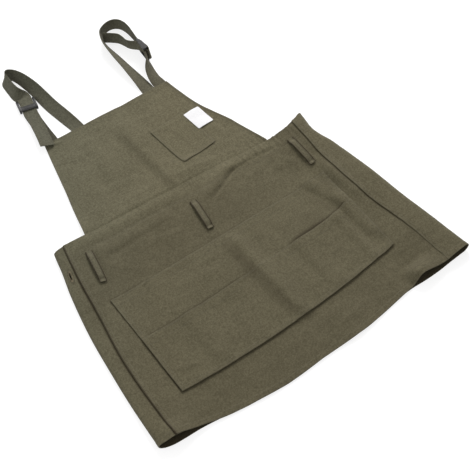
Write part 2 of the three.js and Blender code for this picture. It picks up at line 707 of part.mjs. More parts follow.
// Ladder-lock buckle: two side rails joined by three bars, drawn with v, w and u as X, Y and Z.
function buckle(name) {
  const outline = new THREE.Shape(RAIL_OUTLINE.map(({ v, w }) => new THREE.Vector2(v, w)));
  const depth = RAIL_OUTER - RAIL_INNER;
  const rail = new THREE.ExtrudeGeometry(outline, { depth, bevelEnabled: false });
  const pieces = [
    rail.clone().translate(0, 0, -RAIL_OUTER),
    rail.translate(0, 0, RAIL_INNER),
  ];
  for (const bar of BUCKLE_BARS) {
    const round = new THREE.CylinderGeometry(1, 1, RAIL_INNER + RAIL_OUTER, BAR_SIDES);
    round.rotateX(Math.PI / 2);
    round.scale(bar.halfLength, bar.halfHeight, 1);
    pieces.push(round.translate(bar.v, bar.w, 0));
  }
  const solid = pieces.map(toManifold).reduce((joined, piece) => joined.add(piece));
  const { v, w, origin } = buckleFrame(BUCKLES[name]);
  const placed = new THREE.Matrix4().makeBasis(v, w, v.clone().cross(w)).setPosition(origin);
  return fromManifold(solid).applyMatrix4(placed);
}

const apron = new THREE.Group();

function addPiece(name, geometry, material) {
  const mesh = new THREE.Mesh(geometry, new THREE.MeshStandardMaterial(material));
  mesh.name = name;
  apron.add(mesh);
}

addPiece('bib', bib(), CANVAS);
addPiece('skirt_front', skirtFront(), CANVAS);
addPiece('side_panel_left', slitSidePanel(), CANVAS);
addPiece('side_panel_right', sidePanel(1), CANVAS);
addPiece('pocket_upper', pocketPatch(POCKET_BOTTOM_ROW, POCKET_TOP_ROW, 1), CANVAS);
addPiece('pocket_lower', pocketPatch(POCKET_BOTTOM_ROW, POCKET_MIDDLE_ROW, 2), CANVAS);
addPiece('breast_pocket', patchOnBib(BREAST_POCKET, PATCH_STEPS, 1), CANVAS);
addPiece('label', patchOnBib(LABEL, LABEL_STEPS, 2), WHITE_LABEL);
for (const loop of BELT_LOOPS) {
  addPiece(loop.name, beltLoop(loop), WEBBING);
}
for (const name of ['left', 'right']) {
  addPiece(`tab_${name}`, tab(name), WEBBING);
  addPiece(`strap_${name}`, strap(name), WEBBING);
  addPiece(`buckle_${name}`, buckle(name), BLACK_PLASTIC);
}

apron.position.set(-MIDDLE.x, -MIDDLE.y, 0);

export default apron;
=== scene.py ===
# Looks of a canvas work apron lying face up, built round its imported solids.
# Sizes are in millimetres in the apron's drawing frame: +Y from hem to bib, +Z up.
import math

import bpy
import numpy as np
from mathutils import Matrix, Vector


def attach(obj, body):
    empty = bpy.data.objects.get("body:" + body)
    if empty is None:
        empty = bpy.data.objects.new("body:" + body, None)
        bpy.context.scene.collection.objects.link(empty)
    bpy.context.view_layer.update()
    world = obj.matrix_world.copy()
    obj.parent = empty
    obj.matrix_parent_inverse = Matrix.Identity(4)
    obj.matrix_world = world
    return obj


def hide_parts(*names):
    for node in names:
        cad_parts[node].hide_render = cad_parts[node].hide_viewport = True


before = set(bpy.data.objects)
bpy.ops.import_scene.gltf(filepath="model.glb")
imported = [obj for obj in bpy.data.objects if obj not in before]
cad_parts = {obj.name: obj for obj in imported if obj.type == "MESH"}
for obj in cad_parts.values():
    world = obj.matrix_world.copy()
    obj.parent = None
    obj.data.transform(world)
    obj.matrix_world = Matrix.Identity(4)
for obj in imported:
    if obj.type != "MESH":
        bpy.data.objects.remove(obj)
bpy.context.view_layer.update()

# Driving sizes, as in the solids
METRES = 0.001
MIDDLE = (9.6, 104.4)
CLOTH = 1.4
GAP = 0.6
LAYER = CLOTH + GAP
STRAP_WIDTH = 32
STRAP_THICKNESS = 2
TAB_THICKNESS = 1.6
SEAM_LAP = 12
RISE_REACH = 140
FOLD_BULGE = 0.6
BACK_EDGE = 40
SIDE_LINE = 360
BIB_RISE_END = (126, 190)
BIB_TOP = 398
BIB_FOOT = 240.0
POCKET_HALF_WIDTH = 288

SKIRT_SECTIONS = {
    "y": (-405, -300, -200, -100, 0, 60, 115),
    "left_fold": (-396, -390, -381, -369, -350, -334, -321),
    "left_seam": (-357, -353, -346, -331, -318, -308, -297),
    "right_seam": (352, 344, 330, 319, 315, 317, 317),
    "right_fold": (416, 403, 391, 380, 364, 349, 354),
    "left_rise": (21, 15, 13, 13, 14, 15, 17),
    "right_rise": (21, 20, 19, 21, 23, 25.5, 27.5),
}

# Lines across the skirt at its edges: the front and back hems and the waist edge
EDGE_LINES = {
    "x": (-400, -370, -340, -300, -230, -110, 0, 100, 200, 250, 280, 302, 330, 357, 420),
    "hem": (
        -395, -399, -402, -406.5, -419.5, -431, -427, -425.5, -411.5, -404.5,
        -401, -402, -402.5, -401.5, -398,
    ),
    "back_hem": (
        -395, -404, -406.5, -408, -416, -426, -421, -420, -408, -405.5,
        -406.5, -406.5, -405.5, -403, -398.5,
    ),
    "waist_edge": (108, 110, 113, 118, 117, 115, 112, 108, 102, 97.5, 96.5, 98, 105, 115, 118),
}

# Rows across the skirt: height at the left and right of the pocket and sag between them
SKIRT_ROWS = {
    "pocket_bottom": (-322, -298, 15),
    "pocket_middle": (-177, -149, 8),
    "pocket_top": (-58, -53, 0),
    "waist_stitch": (82, 75, 0),
}
SAG_LIMIT = 1.5
MOUTH_SAG = {"x": 190, "reach": 60, "depth": 4.5}

BIB_SECTIONS = {
    "y": (96, 126, 200, 250, 300, 350, 398),
    "left": (-246, -240, -223, -211, -200, -189, -178),
    "right": (245, 237.5, 220, 201, 183, 172, 164),
}

LEVELS = {"y": (-430, -60, 50, 126, 200, 400), "z": (3.4, 3.4, 8.2, 8.2, 4.4, 4.4)}

# Folds of the cloth: start, end, widths of the left and right flanks walking along, and height
FOLD_FADE = 40
FOLDS = (
    ("bib centre crease", (2, 160), (-8, 335), 26, 60, 3.4),
    ("bib left crease", (-98, 220), (-97, 340), 20, 45, 1.4),
    ("bib left swell", (-180, 170), (-150, 260), 45, 45, 3),
    ("waist roll right", (125, 88), (215, 84), 34, 14, 3.4),
    ("waist roll middle", (55, 58), (118, 86), 34, 14, 3.6),
    ("waist roll left", (-250, 101), (-30, 96), 30, 20, 1.6),
    ("left cross swell", (-225, 60), (-80, 58), 28, 24, 2),
    ("right gather", (308, -130), (305, -60), 20, 30, 6),
    ("pocket slanting fold", (268, -130), (244, -60), 22, 34, 5),
    ("pocket upright fold", (272, -235), (270, -140), 20, 34, 5),
    ("pocket inner fold", (238, -290), (236, -175), 20, 24, 3.5),
    ("pocket right crease", (124, -290), (122, -180), 20, 45, 3),
    ("pocket centre crease", (20, -305), (12, -95), 34, 45, 6.5),
    ("pocket centre swell", (-25, -150), (-25, -95), 80, 40, 3),
    ("pocket left crease", (-182, -290), (-184, -190), 20, 45, 2.5),
    ("hem right mouth", (281, -440), (279, -392), 32, 88, 23),
    ("hem left mouth", (-358, -440), (-354, -392), 36, 48, 8),
    ("hem wave", (90, -440), (100, -370), 70, 80, 4),
)

# Smaller wrinkles that only the looks carry, in the same columns
WRINKLE_FADE = 10
WRINKLES = (
    ("tick left of the centre loop", (-142, -42), (-122, -18), 5, 9, 1.3),
    ("tick on the left pocket", (-206, -150), (-178, -163), 6, 9, 1.2),
    ("pocket top wrinkle", (-222, -66), (-192, -54), 6, 9, 1.1),
    ("pocket top wrinkle beside it", (-205, -74), (-180, -60), 6, 8, 0.8),
    ("lower left dent", (-268, -274), (-226, -288), 10, 14, 1.3),
    ("crease right of the middle", (226, 62), (222, 18), 12, 20, 1.5),
    ("ripple below the pocket", (-80, -366), (50, -352), 18, 24, 1.3),
    ("ripple above the hem", (60, -388), (150, -374), 14, 20, 1.2),
    ("bib cross wrinkle", (-150, 205), (-60, 190), 16, 22, 1.2),
    ("bib lower wrinkle", (30, 140), (110, 132), 12, 18, 1.3),
    ("upper pocket wrinkle", (-150, -110), (-60, -128), 18, 24, 1.2),
    ("right of the breast pocket", (176, 214), (186, 172), 10, 16, 1.4),
    ("bib crease below the middle", (5, 240), (0, 130), 7, 20, 1.5),
    ("bib corner curl", (-172, 392), (-142, 384), 7, 9, 1.8),
    ("waist crease start", (56, 43), (75, 51), 6, 5, -1.5),
    ("waist crease rise", (75, 51), (128, 76), 6, 5, -2),
    ("waist crease right", (128, 76), (195, 79), 7, 6, -1.2),
    ("waist crease end", (195, 79), (250, 68), 7, 6, -1),
    ("crest of the pocket crease", (17, -305), (14, -70), 9, 25, 1.4),
    ("wrinkle under the waist", (150, 40), (205, 52), 10, 14, 1),
    ("wrinkle left of the right loop", (236, 40), (262, 8), 9, 14, 1.2),
    ("wrinkle across the left front", (-120, 20), (-60, 8), 12, 16, 1),
    ("wrinkle beside the left loop", (-232, 20), (-196, -20), 10, 14, 1),
    ("waist crease left", (-222, 44), (-72, 46), 9, 12, -1.2),
    ("stitch line left", (-245, 85), (-25, 78), 4, 5, -0.7),
    ("gather beside the right loop", (303, 66), (302, -6), 9, 8, -1.8),
    ("gather above the pocket", (292, -24), (288, -148), 14, 16, -0.8),
    ("slanting gather", (224, -52), (258, -148), 10, 16, -0.5),
)

# Painted shade on the flanks of the creases, in the same columns with a share of darkness for the height
SHADE_FADE = 30
SHADED_CREASES = (
    ("pocket centre crease", (10, -292), (0, -84), 32, 14, 0.2),
    ("pocket crease beside the mouth", (0, -172), (-6, -128), 34, 18, 0.12),
    ("right of the pocket's middle", (176, -122), (196, -150), 22, 30, 0.1),
    ("lower left mouth", (-150, -176), (-120, -174), 12, 10, 0.14),
    ("left end of the mouth", (-208, -178), (-186, -178), 10, 8, 0.12),
    ("bib centre crease", (-8, 130), (-16, 310), 28, 10, 0.12),
    ("waist left of the right loop", (170, 60), (226, 56), 18, 16, 0.12),
    ("gather right of the pocket", (230, -102), (241, -140), 12, 16, 0.14),
    ("slope below the right loop", (274, -66), (259, -165), 14, 10, 0.1),
)

# Slow waves and small rumples that keep the flat cloth from lying dead level: count, lengths and height
WAVE_SEED = 5
WAVE_SETS = ((14, (70, 190), 0.22), (22, (20, 58), 0.07))

random = np.random.default_rng(WAVE_SEED)
all_waves = []
for count, lengths, height in WAVE_SETS:
    turns = random.uniform(0, 2 * math.pi, count)
    spans = random.uniform(*lengths, count)
    starts = random.uniform(0, 2 * math.pi, count)
    all_waves += zip(turns, spans, starts, [height] * count)


# Shared sums
def smoothstep(value, low, high):
    share = np.clip((value - low) / (high - low), 0, 1)
    return share * share * (3 - 2 * share)


def fall(value, low, high):
    """1 below the low value and 0 above the high one."""
    return 1 - smoothstep(value, low, high)


def near(distance, reach):
    """1 on a line, dying out over the given reach beside it."""
    return np.exp(-((distance / reach) ** 2))


def lerp(start, end, share):
    return start + (end - start) * share


def unit(vectors):
    return vectors / np.maximum(np.linalg.norm(vectors, axis=-1, keepdims=True), 1e-9)


def turned(u, v, degrees):
    """A place or direction in the plane, turned to the left."""
    cos, sin = math.cos(math.radians(degrees)), math.sin(math.radians(degrees))
    return u * cos - v * sin, u * sin + v * cos


def section(table, column, place, key="y"):
    """One column of a table at a place along its key column, as a smooth curve through its rows."""
    ys = np.array(table[key], float)
    values = np.array(table[column], float)
    before = np.maximum(np.arange(len(ys)) - 1, 0)
    after = np.minimum(np.arange(len(ys)) + 1, len(ys) - 1)
    slopes = (values[after] - values[before]) / (ys[after] - ys[before])
    at = np.clip(place, ys[0], ys[-1])
    i = np.clip(np.searchsorted(ys, at), 1, len(ys) - 1)
    span = ys[i] - ys[i - 1]
    t = (at - ys[i - 1]) / span
    start = (1 + 2 * t) * (1 - t) ** 2 * values[i - 1] + t * (1 - t) ** 2 * span * slopes[i - 1]
    end = t * t * (3 - 2 * t) * values[i] + t * t * (t - 1) * span * slopes[i]
    return start + end


# The laid cloth
def level_at(y):
    ys = np.array(LEVELS["y"], float)
    heights = np.array(LEVELS["z"], float)
    i = np.clip(np.searchsorted(ys, y), 1, len(ys) - 1)
    return lerp(heights[i - 1], heights[i], smoothstep(y, ys[i - 1], ys[i]))


def folds_at(rows, fade_length, x, y):
    """What a table of folds adds at a place on the cloth."""
    total = np.zeros_like(x)
    for _, start, end, left, right, height in rows:
        along_x, along_y = end[0] - start[0], end[1] - start[1]
        length = math.hypot(along_x, along_y)
        dx, dy = x - start[0], y - start[1]
        along = (dx * along_x + dy * along_y) / length
        to_right = (dx * along_y - dy * along_x) / length
        across = np.minimum(np.abs(to_right) / np.where(to_right > 0, right, left), 1)
        fade = smoothstep(along, -fade_length, 0) * fall(along, length, length + fade_length)
        total = total + height * fade * 0.5 * (1 + np.cos(math.pi * across))
    return total


def crease_shade(f):
    return folds_at(SHADED_CREASES, SHADE_FADE, f["x"], f["y"])


def waves(x, y):
    total = np.zeros_like(x)
    for turn, length, start, height in all_waves:
        along = x * math.cos(turn) + y * math.sin(turn)
        total = total + height * np.sin(2 * math.pi * along / length + start)
    return total


def drape(x, y):
    """Height of the front cloth's middle over the floor."""
    x, y = np.broadcast_arrays(np.asarray(x, float), np.asarray(y, float))
    level = level_at(y)
    left_rise = section(SKIRT_SECTIONS, "left_rise", y)
    right_rise = section(SKIRT_SECTIONS, "right_rise", y)
    left_start = section(SKIRT_SECTIONS, "left_fold", y) + FOLD_BULGE * left_rise
    right_start = section(SKIRT_SECTIONS, "right_fold", y) - FOLD_BULGE * right_rise
    left = fall(x, left_start, left_start + RISE_REACH)
    right = smoothstep(x, right_start - RISE_REACH, right_start)
    rise = left * (left_rise - level) + right * (right_rise - level)
    folds = folds_at(FOLDS, FOLD_FADE, x, y) + folds_at(WRINKLES, WRINKLE_FADE, x, y)
    return level + rise * fall(y, *BIB_RISE_END) + folds + waves(x, y)


def row_y(row, x):
    """Height up the apron of a named row or edge at x."""
    if row in EDGE_LINES:
        return section(EDGE_LINES, row, x, "x")
    if row == "pocket_mouth":
        return row_y("pocket_middle", x) - MOUTH_SAG["depth"] * near(x - MOUTH_SAG["x"], MOUTH_SAG["reach"])
    left, right, sag = SKIRT_ROWS[row]
    t = x / POCKET_HALF_WIDTH
    return lerp(left, right, (t + 1) / 2) - sag * (1 - np.minimum(t * t, SAG_LIMIT))


# Places across a sheet: closer together near an edge that carries a hem
GRID = 3.4
EDGE_STEPS = (0, 0.7, 1.6, 2.6, 3.6, 5, 6.6, 8, 9, 10, 11, 12.4, 14.4, 17)


def graded(length, low=True, step=GRID):
    """Shares and offsets of grid lines along a side of about the given length."""
    edge = EDGE_STEPS[-1]
    shares = np.linspace(0, 1, int(length / step))
    offsets = lerp(edge if low else 0, -edge, shares)
    if low:
        shares = np.concatenate([np.zeros(len(EDGE_STEPS) - 1), shares])
        offsets = np.concatenate([EDGE_STEPS[:-1], offsets])
    shares = np.concatenate([shares, np.ones(len(EDGE_STEPS) - 1)])
    offsets = np.concatenate([offsets, -np.array(EDGE_STEPS[-2::-1])])
    return shares, offsets


# Sewing: raised hems, stitch grooves and the small puckers beside them
HEM_EDGE = (-1, 2)
GROOVE = 0.28
GROOVE_WIDTH = 1.2
PUCKERS = (7.3, 10.1, 14.6)
WAIST_RIBS = (9.3, 12.7, 17.9)
SKIRT_HEM = 11
WAIST_BAND = 34
SEAM_STITCHES = (2.6, 9)
POCKET_STITCHES = (2.4, 8.6)
POCKET_TOP_HEM = 20
BIB_SIDE_HEM = 11
BIB_TOP_HEM = 14
BREAST_STITCHES = (2.2, 7.4)
BREAST_TOP_HEM = 18

# Sewn lines: distance from the edge, how far the hem is raised, and height and reach of the puckers
SEWN_LINES = {
    "skirt_hem": (SKIRT_HEM, 0.7, 0.3, 10),
    "left_seam": (SEAM_STITCHES[1], 0.4, 0, 1),
    "skirt_waist": (WAIST_BAND, 0.35, 0, 1),
    "pocket_side": (POCKET_STITCHES[1], 0.45, 0.22, 7),
    "pocket_top": (POCKET_TOP_HEM, 0.35, 0.25, 9),
    "bib_side": (BIB_SIDE_HEM, 0.3, 0.2, 9),
    "bib_top": (BIB_TOP_HEM, 0.3, 0, 1),
    "panel_hem": (SKIRT_HEM, 0.5, 0.25, 9),
    "panel_waist": (WAIST_BAND, 0.35, 0.25, 12),
    "panel_lap": (SEAM_STITCHES[1], 0.45, 0, 1),
    "breast_side": (BREAST_STITCHES[1], 0.4, 0.15, 5),
    "breast_top": (BREAST_TOP_HEM, 0.35, 0, 1),
}


def pucker(along, distance, reach, lengths=PUCKERS):
    """Small ribs across a sewn line, dying out away from it."""
    ribs = sum(np.sin(2 * math.pi * along / length + length) for length in lengths)
    return ribs / len(lengths) * near(distance, reach)


def sewn(line, distance, along):
    """Relief of a hem and its stitch line, by distances from the edge and along it."""
    width, raised, ribs, reach = SEWN_LINES[line]
    band = fall(distance, width + HEM_EDGE[0], width + HEM_EDGE[1])
    groove = GROOVE * near(distance - width, GROOVE_WIDTH)
    return raised * band - groove + ribs * pucker(along, distance - width, reach)


# Meshes
RIM_ANGLES = (35, 62, 90, 118, 145)


def grid_normals(points):
    along = np.gradient(points, axis=0)
    side = np.gradient(points, axis=1)
    return unit(np.cross(side, along))


def new_object(name, vertices, faces, uv=None, attributes=None):
    """Object of the given millimetre vertices, put into the shared frame in metres."""
    placed = (np.asarray(vertices) - np.array([*MIDDLE, 0])) * METRES
    mesh = bpy.data.meshes.new(name)
    mesh.from_pydata(placed.tolist(), [], faces)
    mesh.polygons.foreach_set("use_smooth", np.ones(len(mesh.polygons), bool))
    if uv is not None:
        corner = np.zeros(len(mesh.loops), np.int32)
        mesh.loops.foreach_get("vertex_index", corner)
        layer = mesh.uv_layers.new(name="weave")
        layer.data.foreach_set("uv", (np.asarray(uv)[corner] * METRES).astype(np.float32).ravel())
    for key, values in (attributes or {}).items():
        layer = mesh.attributes.new(key, "FLOAT", "POINT")
        layer.data.foreach_set("value", np.asarray(values, np.float32))
    mesh.update()
    made = bpy.data.objects.new(name, mesh)
    bpy.context.scene.collection.objects.link(made)
    return made


def outward_faces(vertices, faces):
    """The faces, turned over if they enclose a negative volume."""
    a, b, c, d = (vertices[faces[:, k]] for k in range(4))
    volume = np.einsum("ij,ij->i", a, np.cross(b, c)).sum() + np.einsum("ij,ij->i", a, np.cross(c, d)).sum()
    return faces if volume > 0 else faces[:, ::-1]


def rim_rings(points, top, bottom, loop):
    """Rings of points that round off the edge between the two faces of a sheet."""
    away = np.zeros_like(points)
    away[0] += unit(points[0] - points[1])
    away[-1] += unit(points[-1] - points[-2])
    away[:, 0] += unit(points[:, 0] - points[:, 1])
    away[:, -1] += unit(points[:, -1] - points[:, -2])
    away = unit(away).reshape(-1, 3)[loop]
    middle = (top[loop] + bottom[loop]) / 2
    half = (top[loop] - bottom[loop]) / 2
    radius = np.linalg.norm(half, axis=1, keepdims=True)
    return [middle + half * math.cos(t) + away * radius * math.sin(t) for t in np.radians(RIM_ANGLES)]


def hole_walls(index, holes, count):
    """Walls between the two faces of a sheet round its holes."""
    walls = []
    for r, c in zip(*np.nonzero(holes)):
        corners = (index[r, c], index[r, c + 1], index[r + 1, c + 1], index[r + 1, c])
        around = ((r - 1, c), (r, c + 1), (r + 1, c), (r, c - 1))
        for k, (row, column) in enumerate(around):
            if not holes[row, column]:
                start, end = corners[k], corners[(k + 1) % 4]
                walls.append((start, end, end + count, start + count))
    return np.array(walls)


def solid_sheet(
    name, points, normals, thickness, relief, weave, worn=0.0, shade=0.0, inner=None, holes=None
):
    """Closed sheet of cloth from a grid of middle points, with a rounded rim and optional holes."""
    rows, columns = points.shape[:2]
    count = rows * columns
    relief = np.broadcast_to(np.asarray(relief, float), (rows, columns))
    top = (points + normals * (thickness / 2 + relief)[..., None]).reshape(count, 3)
    bottom = (points - normals * thickness / 2).reshape(count, 3)
    index = np.arange(count).reshape(rows, columns)
    loop = np.concatenate([index[0], index[1:, -1], index[-1, -2::-1], index[-2:0:-1, 0]])
    rings = rim_rings(points, top, bottom, loop)
    vertices = np.concatenate([top, bottom, *rings])
    a, b, c, d = index[:-1, :-1], index[:-1, 1:], index[1:, 1:], index[1:, :-1]
    kept = np.ones((rows - 1, columns - 1), bool) if holes is None else ~holes
    quads = [np.stack([a, b, c, d], -1)[kept], np.stack([a, d, c, b], -1)[kept] + count]
    ring_starts = 2 * count + np.arange(len(rings)) * len(loop)
    levels = [loop, *(start + np.arange(len(loop)) for start in ring_starts), loop + count]
    for over, under in zip(levels, levels[1:]):
        quads.append(np.stack([np.roll(over, -1), over, under, np.roll(under, -1)], -1))
    if holes is not None:
        quads.append(hole_walls(index, holes, count))
    faces = outward_faces(vertices, np.concatenate(quads))
    source = np.concatenate([np.arange(count), np.arange(count), *([loop] * len(rings))])
    attributes = {}
    for key, values in (("worn", worn), ("shade", shade)):
        attributes[key] = np.broadcast_to(values, (rows, columns)).reshape(count)[source]
    if inner is not None:
        attributes["shade"][count:2 * count] = inner.reshape(count)
    used, faces = np.unique(faces, return_inverse=True)
    faces = faces.reshape(-1, 4).tolist()
    attributes = {key: values[used] for key, values in attributes.items()}
    return new_object(name, vertices[used], faces, weave.reshape(count, 2)[source[used]], attributes)


# Stitches: short rounded beads of thread along a sewn line
STITCH_PITCH = 3.6
STITCH_HALF = (1.35, 0.42, 0.3)
STITCH_RINGS = (-0.72, 0.0, 0.72)
STITCH_SIDES = 6
STITCH_SPAN = (-1.3, 0, 1.3)


def distances(line):
    """Distance of each point of a line from its start."""
    return np.concatenate([[0], np.cumsum(np.linalg.norm(np.diff(line, axis=0), axis=1))])


def at_place(values, length, place):
    """Values at a place along a line, by the distances of its points from its start."""
    return np.array([np.interp(place, length, values[:, k]) for k in range(3)])


def stitch_template():
    """Vertices and faces of one stitch that points along +X."""
    vertices = [(-1.0, 0.0, 0.0)]
    for ring in STITCH_RINGS:
        round_off = math.sqrt(1 - ring * ring)
        for t in np.arange(STITCH_SIDES) * 2 * math.pi / STITCH_SIDES:
            vertices.append((ring, round_off * math.cos(t), round_off * math.sin(t)))
    last = len(vertices)
    vertices.append((1.0, 0.0, 0.0))
    faces = []
    for k in range(STITCH_SIDES):
        following = (k + 1) % STITCH_SIDES
        faces.append((0, 1 + following, 1 + k))
        for a in range(1, last - STITCH_SIDES, STITCH_SIDES):
            b = a + STITCH_SIDES
            faces.append((a + k, a + following, b + following, b + k))
        faces.append((last - STITCH_SIDES + k, last - STITCH_SIDES + following, last))
    return np.array(vertices) * STITCH_HALF, faces


def stitch_beads(name, runs):
    """One object with all the stitches of some runs: lines of places and directions out of the cloth."""
    template, faces = stitch_template()
    vertices, all_faces = [], []
    for line, out in runs:
        length = distances(line)
        for place in np.arange(STITCH_PITCH / 2, length[-1], STITCH_PITCH):
            start, centre, end = (at_place(line, length, place + d) for d in STITCH_SPAN)
            along = unit(end - start)
            side = unit(np.cross(unit(at_place(out, length, place)), along))
            base = len(vertices) * len(template)
            vertices.append(centre + template @ np.array([along, side, np.cross(along, side)]))
            all_faces += [tuple(base + k for k in face) for face in faces]
    return new_object(name, np.concatenate(vertices), all_faces)


# Sheets of cloth on the laid map
WEAR_REACH = 2.2


def edge_wear(f, names):
    """Wear along the named edges of a sheet."""
    return near(np.min([f[name] for name in names], axis=0), WEAR_REACH) if names else 0.0


class Sheet:
    """A sheet of cloth described by functions of its grid lines, so that stitches can lie on it."""

    def __init__(self, name, place, rows, columns, relief, worn=(), shade=None, inner=None, thickness=CLOTH):
        self.place = place
        self.thickness = thickness
        self.relief = relief
        grid = np.broadcast_arrays(*(v[:, None] for v in rows), *(u[None, :] for u in columns))
        points, facts = place(*grid)
        self.object = solid_sheet(
            name, points, grid_normals(points), thickness, relief(facts), points[..., :2],
            edge_wear(facts, worn), shade(facts) if shade else 0.0, inner(facts) if inner else None,
        )

    def line(self, shares_v, offsets_v, shares_u, offsets_u):
        """Places on the outer face along a line of grid values, and the directions out of it."""
        values = (np.asarray(v, float) for v in (shares_v, offsets_v, shares_u, offsets_u))
        points, facts = self.place(*np.broadcast_arrays(*values))
        lift = self.thickness / 2 + self.relief(facts)
        out = np.tile([0.0, 0.0, 1.0], (len(points), 1))
        return points + out * np.broadcast_to(lift, len(points))[:, None], out


# Front panel of the skirt
SKIRT_LENGTH = 520
SKIRT_WIDTH = 640
WAIST_SETTLE = {"depth": 0.5, "reach": 8, "ends": (225, 245)}
PUCKERED_WAIST = {"x": (-330, -200, -20, 110, 190, 250, 330), "height": (0.2, 0.3, 0.2, 0.7, 1.6, 1.8, 0.5)}
RIB_LINE = 10
RIB_REACH = {"front": 18, "bib": 20}


def waist_ribs(x, distance, sheet):
    """Gathers across the waist, highest near the right loop."""
    height = np.interp(x, PUCKERED_WAIST["x"], PUCKERED_WAIST["height"])
    return height * pucker(x, distance, RIB_REACH[sheet], WAIST_RIBS)


def front_place(shares_v, offsets_v, shares_u, offsets_u):
    middle = lerp(row_y("hem", 0.0), row_y("waist_edge", 0.0), shares_v) + offsets_v
    left = section(SKIRT_SECTIONS, "left_seam", middle)
    right = section(SKIRT_SECTIONS, "right_seam", middle) + SEAM_LAP
    x = left + shares_u * (right - left) + offsets_u
    bottom, top = row_y("hem", x), row_y("waist_edge", x)
    y = bottom + shares_v * (top - bottom) + offsets_v
    settle = WAIST_SETTLE["depth"] * fall(top - y, 0, WAIST_SETTLE["reach"])
    settle = settle * fall(np.abs(x), *WAIST_SETTLE["ends"])
    points = np.stack([x, y, drape(x, y) - settle], -1)
    return points, {"x": x, "y": y, "hem": y - bottom, "waist": top - y, "left": x - left, "right": right - x}


def front_relief(f):
    x, y = f["x"], f["y"]
    under_pocket = (y < row_y("pocket_top", x)) & (y > row_y("pocket_bottom", x))
    under_pocket = under_pocket & (np.abs(x) < POCKET_HALF_WIDTH)
    lines = sewn("skirt_hem", f["hem"], x) + sewn("left_seam", f["left"], y)
    lines = lines + sewn("skirt_waist", f["waist"], x)
    return np.where(under_pocket, 0, lines + waist_ribs(x, f["waist"] - RIB_LINE, "front"))


# Painted shade, as shares of darkness: the panels of the skirt darker than the bib, and shade lines beside
# sewn edges
SKIRT_SHADE = 0.15
# Painted shade below the pocket and above it at the left
HEM_SHADE = 0.1
BIB_SHADE = 0.03
INNER_SHADE = 0.75
INNER_REACH = 90
WAIST_BLEND = 60
UPPER_END = (60, 200)
# A patch of painted shade in the hollow by the right loop
SHADED_HOLLOW = {"x": 290, "y": 80, "wide": 34, "tall": 28, "shade": 0.32}
WAIST_EDGE = {"shade": 0.15, "band": (4, 7), "start": (225, 265)}
# Painted shade lines beside the pocket's edges and the seams
LINE_WIDTH = 2.4
LINE_STRENGTH = 0.7
LINE_OFFSET = 1
LINE_ENDS = 2
POCKET_LINES = {"left": 1.0, "right": 0.4, "bottom": 0.4, "top": 0.45}
LAP_ENDS = (-340, -220)


def line_shade(distance, strength=1.0):
    """Painted shade line beside a sewn edge, by the distance from its middle."""
    return strength * near(distance, LINE_WIDTH)


def front_shade(f):
    """Painted shade in the creases, beside the pocket's edges, along the seams, below the pocket, at its
    upper left and in the hollow by the right loop, over the darker skirt, with a darker band along the waist
    edge at the right.
    """
    x, y = f["x"], f["y"]
    bottom, top = row_y("pocket_bottom", x), row_y("pocket_top", x)
    on_rows = (y < top + LINE_ENDS) * (y > bottom - LINE_ENDS)
    on_columns = np.abs(x) < POCKET_HALF_WIDTH + LINE_ENDS
    edge_x = POCKET_HALF_WIDTH + LINE_OFFSET
    lines = (
        line_shade(x + edge_x, POCKET_LINES["left"]) * on_rows,
        line_shade(x - edge_x, POCKET_LINES["right"]) * on_rows,
        line_shade(y - bottom + LINE_OFFSET, POCKET_LINES["bottom"]) * on_columns,
        line_shade(y - top - LINE_OFFSET, POCKET_LINES["top"]) * on_columns,
        line_shade(f["right"] - SEAM_LAP - LINE_OFFSET) * smoothstep(y, *LAP_ENDS),
        line_shade(f["left"]),
    )
    blend = smoothstep(f["waist"], 0, WAIST_BLEND)
    shade = SKIRT_SHADE * blend + crease_shade(f) + LINE_STRENGTH * np.max(lines, axis=0)
    shade = shade + HEM_SHADE * ((y < bottom) + (y > top) * fall(x, *UPPER_END) * blend)
    hollow_shade = near(x - SHADED_HOLLOW["x"], SHADED_HOLLOW["wide"]) * near(y - SHADED_HOLLOW["y"], SHADED_HOLLOW["tall"])
    edge = fall(f["waist"], *WAIST_EDGE["band"]) * smoothstep(x, *WAIST_EDGE["start"])
    return shade + SHADED_HOLLOW["shade"] * hollow_shade + WAIST_EDGE["shade"] * edge


def hem_inner(from_hem):
    """Painted shade on the inside of the cloth near the open hem, where little light gets in."""
    return INNER_SHADE * fall(from_hem, 0, INNER_REACH)


skirt_rows = graded(SKIRT_LENGTH)
front = Sheet(
    "skirt_front_cloth", front_place, skirt_rows, graded(SKIRT_WIDTH), front_relief,
    ("hem", "left"), front_shade, lambda f: hem_inner(f["hem"]),
)

# Pockets across the front
POCKET_HEIGHTS = {"upper": 265, "lower": 147}
MOUTH_GAPE = 2.6
MOUTH_DEPTH = 45
MOUTH_COVER = 1
# Painted shadow behind the lower pocket's gaping mouth: offset, strength, width and where it widens
MOUTH_LINE = {"offset": 1.5, "strength": 0.9, "thin": 1.4, "wider": 2.6, "x": 160, "reach": 45}

# Stretches of the lower pocket's mouth that gape: where each starts and ends, and how far it opens
MOUTH_STRETCHES = (
    ((-290, -260), (-60, 0), 0.65),
    ((95, 130), (255, 285), 1.0),
)


def mouth_open(x):
    """How far the lower pocket's mouth gapes along its width, from 0 to 1."""
    return sum(share * smoothstep(x, *start) * fall(x, *end) for start, end, share in MOUTH_STRETCHES)


